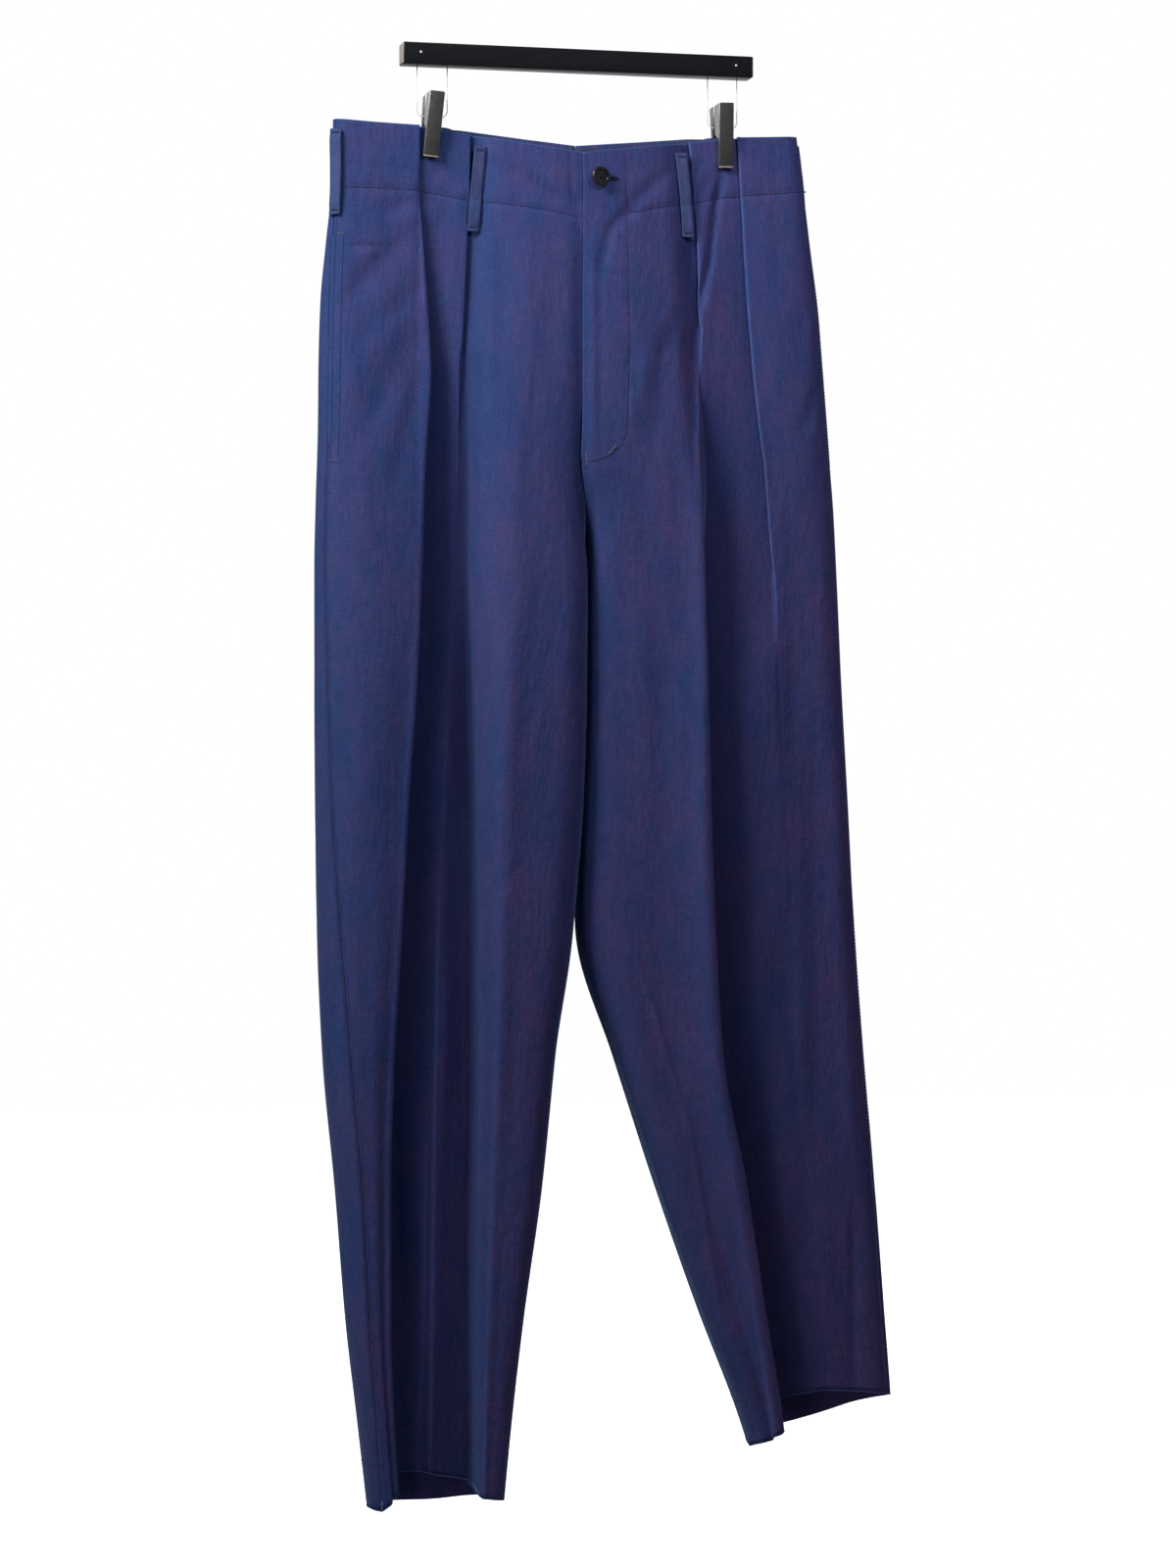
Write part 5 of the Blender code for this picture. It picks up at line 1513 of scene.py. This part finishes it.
def loop_strip(name, line, start, lift, curl):
    """A closed strip down the waist; returns the piece, its two edge rows and their facing."""
    rows, rims = [], ([], [])
    for k in range(LOOP_STEPS + 1):
        part = k / LOOP_STEPS
        middle, out, across = line(start - LOOP_LENGTH * part, part)
        to_end = min(part, 1.0 - part)
        off = 0.45 + lift * ease(to_end / 0.14) + 0.25 * math.sin(9.0 * part + curl)
        thick = 1.15 + 0.45 * (1.0 - ease(to_end / 0.05))
        half = LOOP_WIDTH / 2 - 0.125 * (1.0 + math.sin(7.0 * part + 2.0 * curl))
        twist = 0.25 * math.sin(5.0 * part + curl)
        rows.append([middle + across * (half * spread)
                     + out * (off + thick * rise + twist * spread * 0.5)
                     for spread, rise in LOOP_SECTION])
        for rim, side in zip(rims, (-1.0, 1.0)):
            rim.append(middle + across * (half - 1.5) * side
                       + out * (off + thick * 0.98 + twist * side * 0.4))

    def turned_under(ring, drop):
        centre = sum(ring, Vector()) / len(ring)
        return [centre + (spot - centre) * 0.86 + Vector((0.0, 0.0, drop)) for spot in ring]

    rows = [turned_under(rows[0], 0.49)] + rows + [turned_under(rows[-1], -0.49)]
    grid = np.array([[tuple(spot) for spot in ring] for ring in rows])
    girth = np.broadcast_to(far_along(grid[5]), grid.shape[:2])
    mesh = smooth_mesh(name, grid, tube_faces(*grid.shape[:2]), (girth, grid[:, :, 2]))
    bm = bmesh.new()
    bm.from_mesh(mesh)
    bmesh.ops.recalc_face_normals(bm, faces=bm.faces)
    bm.to_mesh(mesh)
    bm.free()
    piece = show(name, mesh, loop_highlight_cotton)
    return piece, [np.array([tuple(spot) for spot in rim]) for rim in rims], out


# Each row: leg, face, distance from the centre at the top and at the bottom (for a side
# loop, degrees round the side turn), height of the top, lift off the cloth, curl.
LOOPS = {
    "front_right": (RIGHT, "front", 78.4, 84.3, -78.2, 1.1, 0.4),
    "front_left": (LEFT, "front", 81.2, 86.4, -77.6, 1.3, 2.1),
    "side_right": (RIGHT, "side", 52, 50, -68.8, 1.3, 1.2),
    "side_left": (LEFT, "side", 138, 136, -67.3, 1.3, 3.0),
    "back_right": (RIGHT, "back", 96.0, 98.0, -73.8, 1.2, 0.9),
    "back_left": (LEFT, "back", 96.0, 98.0, -73.8, 1.2, 2.6),
}
edge_rows, tack_rows = [], []


def dress_loop(name, line, start, lift, curl):
    piece, rims, out = loop_strip("belt_loop_" + name, line, start, lift, curl)
    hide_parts("loop_" + name)
    edge_rows.extend((rim, np.tile(np.array(out), (len(rim), 1))) for rim in rims)
    for k in (2, -3):
        tack_rows.append((np.linspace(rims[0][k], rims[1][k], 9), np.tile(np.array(out), (9, 1))))


for name, (leg, face, top, low, start, lift, curl) in LOOPS.items():
    dress_loop(name, lambda z, part: loop_line(leg, face, top, low, z, part), start, lift, curl)


def back_middle(z, part):
    """The same for the loop over the centre back seam, which runs straight down."""
    depth = settle(np.array([[1.0, BACK_SECTIONS.at(z)["edge"], z]]), LEFT, "back")[0, 1]
    return Vector((0.0, depth + 0.3, z)), Vector((0.0, 1.0, 0.0)), Vector((1.0, 0.0, 0.0))


dress_loop("back_middle", back_middle, -76.5, 1.1, 0.0)
stitches("loop_edge_stitches", edge_rows, 2.5, 1.6, 0.14)
stitches("loop_end_tacks", tack_rows, 0.55, 1.6, 0.26, thread, True)

# %% [markdown]
# ## Bar tacks and buttonhole
# Where a seam takes a pull - the ends of the pocket mouths and the foot of the fly - the
# machine sews to and fro over a few millimetres.  The buttonhole is a slot with the same
# close stitching down both lips and across its far end.

# %% Close stitching
HOLE = [(18.6, -100.6), (27.4, -100.9)]
HOLE_END = HOLE[1][0] + 0.6


def on_front(places, lift):
    return shown_line(LEFT, "front", places, lift)


dense = [on_front([(1.0, -313.5), (1.6, -324.0)], 0.1),
         on_front([(18.6, -314.6), (24.6, -307.2)], 0.1)]
stitches("fly_tacks", dense, 0.5, 2.2, 0.26, pale_thread, True)
tacks = []
for leg in (RIGHT, LEFT):
    for z in (-149.0, -323.0):
        spots = [seam_line(leg, "front", reach, z + 4.0, z - 8.0) for reach in (1.4, 5.0, 8.6)]
        tacks.append([np.array([spot[k][1] for spot in spots]) for k in (0, 1)])
stitches("pocket_tacks", tacks, 0.5, 1.4, 0.26, pale_thread, True)
lips = [on_front([(x, z + side) for x, z in HOLE], 0.12) for side in (1.1, -1.1)]
stitches("buttonhole_lips", lips, 0.5, 1.7, 0.27, dark_thread, True)
end_bar = on_front([(HOLE_END, HOLE[1][1] + 1.9), (HOLE_END, HOLE[1][1] - 1.9)], 0.14)
stitches("buttonhole_end", [end_bar], 0.5, 1.9, 0.27, dark_thread, True)
slot_line, slot_square = on_front(HOLE, 0.0)
# A dark thread strand along the slit stands for the shade inside it: painted shade.
slot = sweep("buttonhole_slot_shade", slot_line + slot_square * 0.1, 0.30, 6, dark_thread)

# %% [markdown]
# ## Waist button
# The button is turned from dark horn: a raised, polished rim round a dished centre with
# four holes.  A lathe profile gives the rim, cylinders cut the holes, and the thread goes
# over the centre in a cross, three strands each way, and down to the cloth as a wound shank.

# %% Horn
horn, tree, shader = new_finish("dark_horn")
spot = tree.nodes.new("ShaderNodeTexCoord").outputs["Object"]
cloudy = noise_of(tree, stretched(tree, spot, (1, 1.6, 0.6)), 160.0, 4.0, 0.6)
feed(tree, shader,
     Base_Color=blended(tree, span(tree, cloudy, 0.35, 0.7),
                        (0.0075, 0.007, 0.0085), (0.040, 0.034, 0.034)),
     Roughness=span(tree, cloudy, 0.2, 0.8, 0.20, 0.38), Coat_Weight=0.9, Coat_Roughness=0.22)
print("finish:", horn.name)


# %% Button, thread cross and shank
def turned(name, profile, sides, finish):
    """A body turned round its own Z axis from (radius, height) points in millimetres."""
    spots = [(r * math.cos(2 * math.pi * k / sides), r * math.sin(2 * math.pi * k / sides), h)
             for r, h in profile[1:-1] for k in range(sides)]
    ends = [(0.0, 0.0, profile[0][1]), (0.0, 0.0, profile[-1][1])]
    rings = len(profile) - 2
    low, high = rings * sides, rings * sides + 1
    faces = []
    for k in range(sides):
        other = (k + 1) % sides
        faces.append((low, other, k))
        faces.append((high, (rings - 1) * sides + k, (rings - 1) * sides + other))
        faces += [(r * sides + k, r * sides + other, (r + 1) * sides + other, (r + 1) * sides + k)
                  for r in range(rings - 1)]
    mesh = smooth_mesh(name, spots + ends, faces)
    mesh.set_sharp_from_angle(angle=math.radians(50.0))
    return show(name, mesh, finish)


BUTTON_X, BUTTON_Z, BUTTON_OFF, BUTTON_TURN = 13.1, -100.1, 3.4, 20.0
R = 16.5 / 2
HOLE_TURN, HOLE_REACH, HOLE_RADIUS = math.radians(57.0), 1.55, 0.78
rim = [(R - 1.75 + 1.45 * math.sin(a), 1.9 + 1.3 * math.cos(a))
       for a in np.radians(np.arange(150, -61, -15))]
profile = ([(0.0, 0.05), (R - 2.2, 0.05), (R - 1.2, 0.35)] + rim
           + [(R - 3.1, 2.15), (R - 4.4, 1.85), (0.0, 1.75)])
button = turned("horn_button", profile, 72, horn)
holes = bmesh.new()
for k in range(4):
    turn = HOLE_TURN + k * math.pi / 2
    place = Vector((HOLE_REACH * math.cos(turn), HOLE_REACH * math.sin(turn), 1.6)) * MM
    bmesh.ops.create_cone(holes, cap_ends=True, segments=20, radius1=HOLE_RADIUS * MM,
                          radius2=HOLE_RADIUS * MM, depth=6.0 * MM,
                          matrix=Matrix.Translation(place))
cutter_mesh = bpy.data.meshes.new("hole_cutter")
holes.to_mesh(cutter_mesh)
holes.free()
cutter = bpy.data.objects.new("hole_cutter", cutter_mesh)
bpy.context.scene.collection.objects.link(cutter)
cut = button.modifiers.new("holes", "BOOLEAN")
cut.operation, cut.solver, cut.object = "DIFFERENCE", "EXACT", cutter
bpy.context.view_layer.update()
seen = button.evaluated_get(bpy.context.evaluated_depsgraph_get())
solid = bpy.data.meshes.new_from_object(seen)
button.modifiers.clear()
button.data = solid
bpy.data.objects.remove(cutter)

cloth_depth = float(on_front([(BUTTON_X, BUTTON_Z), (BUTTON_X + 2, BUTTON_Z)], 0.0)[0][0, 1])
centre = Vector((BUTTON_X, cloth_depth - BUTTON_OFF, BUTTON_Z)) * MM
seat = (Matrix.Translation(centre) @ (Matrix.Rotation(math.radians(BUTTON_TURN), 4, "Z")
                                      @ Matrix.Rotation(math.radians(90.0), 4, "X")))
button.data.transform(seat)
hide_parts("button")

arcs = []
for a in (HOLE_TURN, HOLE_TURN + math.pi / 2):
    for shift in (-0.22, 0.0, 0.22):
        arc = []
        for t in np.linspace(0.0, 1.0, 13):
            reach = mix(1.75, -1.75, t)
            up = 1.15 + 1.15 * math.sin(math.pi * t) ** 0.5
            place = Vector((reach * math.cos(a) - math.sin(a) * shift,
                            reach * math.sin(a) + math.cos(a) * shift, up))
            arc.append(tuple((seat @ (place * MM)) / MM))
        arcs.append(arc)
for k, arc in enumerate(arcs):
    strand = sweep("button_thread_%d" % k, arc, 0.17, 6, thread)
wound = []
for t in np.linspace(0.0, 1.0, 121):
    turn = 2.0 * math.pi * 7.0 * t
    radius = 1.05 + 0.35 * (1.0 - t) + 0.12 * math.sin(3.0 * turn)
    wound.append((BUTTON_X + radius * math.cos(turn),
                  mix(cloth_depth - 0.1, cloth_depth - BUTTON_OFF + 0.15, t),
                  BUTTON_Z + radius * math.sin(turn)))
shank = sweep("wound_shank", wound, 0.30, 6, thread, up=(0.0, 1.0, 0.0))
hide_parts("button_shank")
print("button across in mm:", round(2 * R, 1))

# %% [markdown]
# ## Hanger
# The hanger is a square bar with two sprung clips under it.  Each clip is pressed from
# sheet steel: two channels, open towards the cloth, gripping at the lower lip and standing
# open at the top.  A thin wire bail hangs each clip from the bar.  The steel is brushed,
# so its front mirrors the dim side of the room and its flanks catch the bright wall behind.

# %% Metal and lacquer
steel, tree, shader = new_finish("brushed_steel")
spot = tree.nodes.new("ShaderNodeTexCoord").outputs["Object"]
brushed = noise_of(tree, stretched(tree, spot, (1400, 1400, 120)), 1.0, 2.0)
grainy = noise_of(tree, spot, 900.0, 2.0, 0.7)
strokes = shares_of(tree, brushed, 0.55, grainy, 0.45)
feed(tree, shader, Metallic=1.0, Roughness=span(tree, strokes, 0.3, 0.7, 0.30, 0.46),
     Base_Color=blended(tree, span(tree, strokes, 0.3, 0.7),
                        (0.34, 0.335, 0.345), (0.56, 0.55, 0.54)),
     Normal=bumped(tree, strokes, 0.25, 0.0002))


def plain(name, colour, rough, coat=0.0):
    """A plain finish, a little worn."""
    finish, tree, shader = new_finish(name)
    worn = noise_of(tree, tree.nodes.new("ShaderNodeTexCoord").outputs["Object"], 220.0, 3.0, 0.6)
    dim = tuple(0.85 * c for c in colour)
    feed(tree, shader, Base_Color=blended(tree, span(tree, worn, 0.3, 0.7), dim, colour),
         Roughness=span(tree, worn, 0.2, 0.8, rough - 0.04, rough + 0.06), Coat_Weight=coat)
    return finish


black_lacquer = plain("black_lacquer", (0.0065, 0.0070, 0.0100), 0.33, 0.15)
bar_end = plain("bar_end_wood", (0.40, 0.37, 0.35), 0.7)
wire_steel = plain("wire_steel", (0.92, 0.92, 0.92), 0.28)
rubber = plain("grip_lip", (0.46, 0.40, 0.31), 0.5)
print("finishes:", [made.name for made in (steel, black_lacquer, bar_end, wire_steel, rubber)])

# %% Bar
BAR = (278.0, 17.0, 16.4)
PIN = [(0.0, -0.4), (0.75, -0.4), (0.85, 0.0), (0.6, 0.22), (0.0, 0.30)]
PIN_X, PIN_Z = 125.0, -7.5


def rounded_box(name, size, centre, radius, finish, segments=3):
    """A box with rolled edges, all in millimetres."""
    bm = bmesh.new()
    bmesh.ops.create_cube(bm, size=1.0)
    for vert in bm.verts:
        vert.co = Vector([(vert.co[k] * size[k] + centre[k]) * MM for k in range(3)])
    bmesh.ops.bevel(bm, geom=bm.edges[:], offset=radius * MM, segments=segments, profile=0.5,
                    affect="EDGES", clamp_overlap=True)
    return show(name, mesh_from(bm, name, 40.0), finish)


bar = rounded_box("lacquered_bar", (BAR[0] - 1.0, BAR[1], BAR[2]), (0, 0, -BAR[2] / 2), 0.8,
                  black_lacquer)
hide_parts("hanger_bar")
for side, name in ((-1.0, "right"), (1.0, "left")):
    cap = rounded_box("bar_end_" + name, (1.2, BAR[1] - 1.0, BAR[2] - 1.0),
                      (side * (BAR[0] / 2 - 0.6), 0, -BAR[2] / 2), 0.35, bar_end, 2)
    pin = turned("bar_pin_" + name, PIN, 16, wire_steel)
    pin.data.transform(Matrix.Translation(Vector((side * PIN_X, -BAR[1] / 2, PIN_Z)) * MM)
                       @ Matrix.Rotation(math.radians(90.0), 4, "X"))
print("bar in mm:", BAR)

# %% Clips
CLIP_TOP, CLIP_BOTTOM, CLIP_PIVOT, CLIP_WIDTH = -37.8, -86.8, -55.5, 12.0
CLIP_MIDDLE, GRIP, REACH_LOW, REACH_TOP, MEET = 0.8, 5.2, 9.2, 15.5, 1.05
BAIL_HALF, BAIL_BEND = 11.8, 5.0


def clip_half(name, facing, seat):
    """One pressed channel: a thin shell with rolled corners, open towards the cloth."""
    half = CLIP_WIDTH / 2
    side = ((REACH_TOP, CLIP_TOP), (REACH_LOW, CLIP_BOTTOM), (GRIP, CLIP_BOTTOM),
            (GRIP, CLIP_PIVOT - 8.0), (MEET, CLIP_PIVOT - 5.0), (MEET, CLIP_TOP))
    bm = bmesh.new()
    low, high = [[bm.verts.new(Vector((x, facing * y, z)) * MM) for y, z in side]
                 for x in (-half, half)]
    bm.faces.new(low)
    bm.faces.new(high[::-1])
    for a, b in ((0, 1), (1, 2), (5, 0)):
        bm.faces.new((low[b], low[a], high[a], high[b]))
    bmesh.ops.recalc_face_normals(bm, faces=bm.faces)
    middle = Vector((0.0, facing * 8.0, -60.0)) * MM
    front = max(bm.faces, key=lambda f: f.calc_area())
    if front.normal.dot(front.calc_center_median() - middle) < 0.0:
        bmesh.ops.reverse_faces(bm, faces=bm.faces)
    creased = [e for e in bm.edges if len(e.link_faces) == 2]
    bmesh.ops.bevel(bm, geom=creased, offset=0.8 * MM, segments=3, profile=0.5, affect="EDGES")
    bm.transform(seat)
    piece = show(name, mesh_from(bm, name, 35.0), steel)
    wall = piece.modifiers.new("wall", "SOLIDIFY")
    wall.thickness, wall.offset, wall.use_even_offset = 0.9 * MM, -1.0, True
    return piece


for name, centre, lean in (("right", -114.6, 4.6), ("left", 116.2, -1.6)):
    seat = (Matrix.Translation(Vector((centre, CLIP_MIDDLE, CLIP_PIVOT)) * MM)
            @ Matrix.Rotation(math.radians(lean), 4, "Y")
            @ Matrix.Translation(Vector((0.0, 0.0, -CLIP_PIVOT)) * MM))
    for face, facing in OUT.items():
        jaw = clip_half("pressed_clip_%s_%s" % (name, face), facing, seat)
        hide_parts("clip_%s_%s" % (name, face))
        edge = [Vector((x, facing * (REACH_LOW - 0.9), CLIP_BOTTOM - 0.15)) * MM
                for x in np.linspace(-CLIP_WIDTH / 2 + 0.3, CLIP_WIDTH / 2 - 0.3, 9)]
        edge = [tuple(seat @ spot / MM) for spot in edge]
        lip = sweep("clip_lip_%s_%s" % (name, face), edge, 0.75, 8, rubber)
    path = []
    for side in (-1.0, 1.0):
        bend = [(side * BAIL_HALF, -BAR[2] + 0.4)]
        bend += [(side * (BAIL_HALF - BAIL_BEND * (1.0 - math.cos(t))),
                  CLIP_PIVOT + BAIL_BEND * (1.0 - math.sin(t)))
                 for t in np.radians(np.arange(0.0, 91.0, 9.0))]
        path += bend if side < 0.0 else bend[::-1]
    path = [(centre + x, CLIP_MIDDLE, z) for x, z in path]
    wire = sweep("bail_wire_" + name, path, 0.42, 10, wire_steel)
    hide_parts("bail_" + name)
print("clips and bails dressed")

# %% [markdown]
# ## Floor
# The hems hang clear of a plain pale floor.  To the lens it is as bright as the ground
# behind the garment, so the two run together; to the cloth it is a soft grey, so that it
# doesn't light the trouser legs from below.

# %% Pale floor
floor_paint, tree, shader = new_finish("pale_floor")
seen = tree.nodes.new("ShaderNodeLightPath").outputs["Is Camera Ray"]
feed(tree, shader, Base_Color=blended(tree, seen, (0.22, 0.22, 0.23), (0.86, 0.86, 0.86)),
     Emission_Strength=seen, Emission_Color=(1.0, 1.0, 1.0), Roughness=0.9,
     Specular_IOR_Level=0.0)
bm = bmesh.new()
bmesh.ops.create_grid(bm, x_segments=8, y_segments=8, size=4.0)
mesh = bpy.data.meshes.new("studio_floor")
bm.to_mesh(mesh)
bm.free()
mesh.materials.append(floor_paint)
floor = bpy.data.objects.new("studio_floor", mesh)
floor.location = (0.0, 0.0, -1.150)
bpy.context.scene.collection.objects.link(floor)
print("floor at", round(floor.location.z, 3), "m")
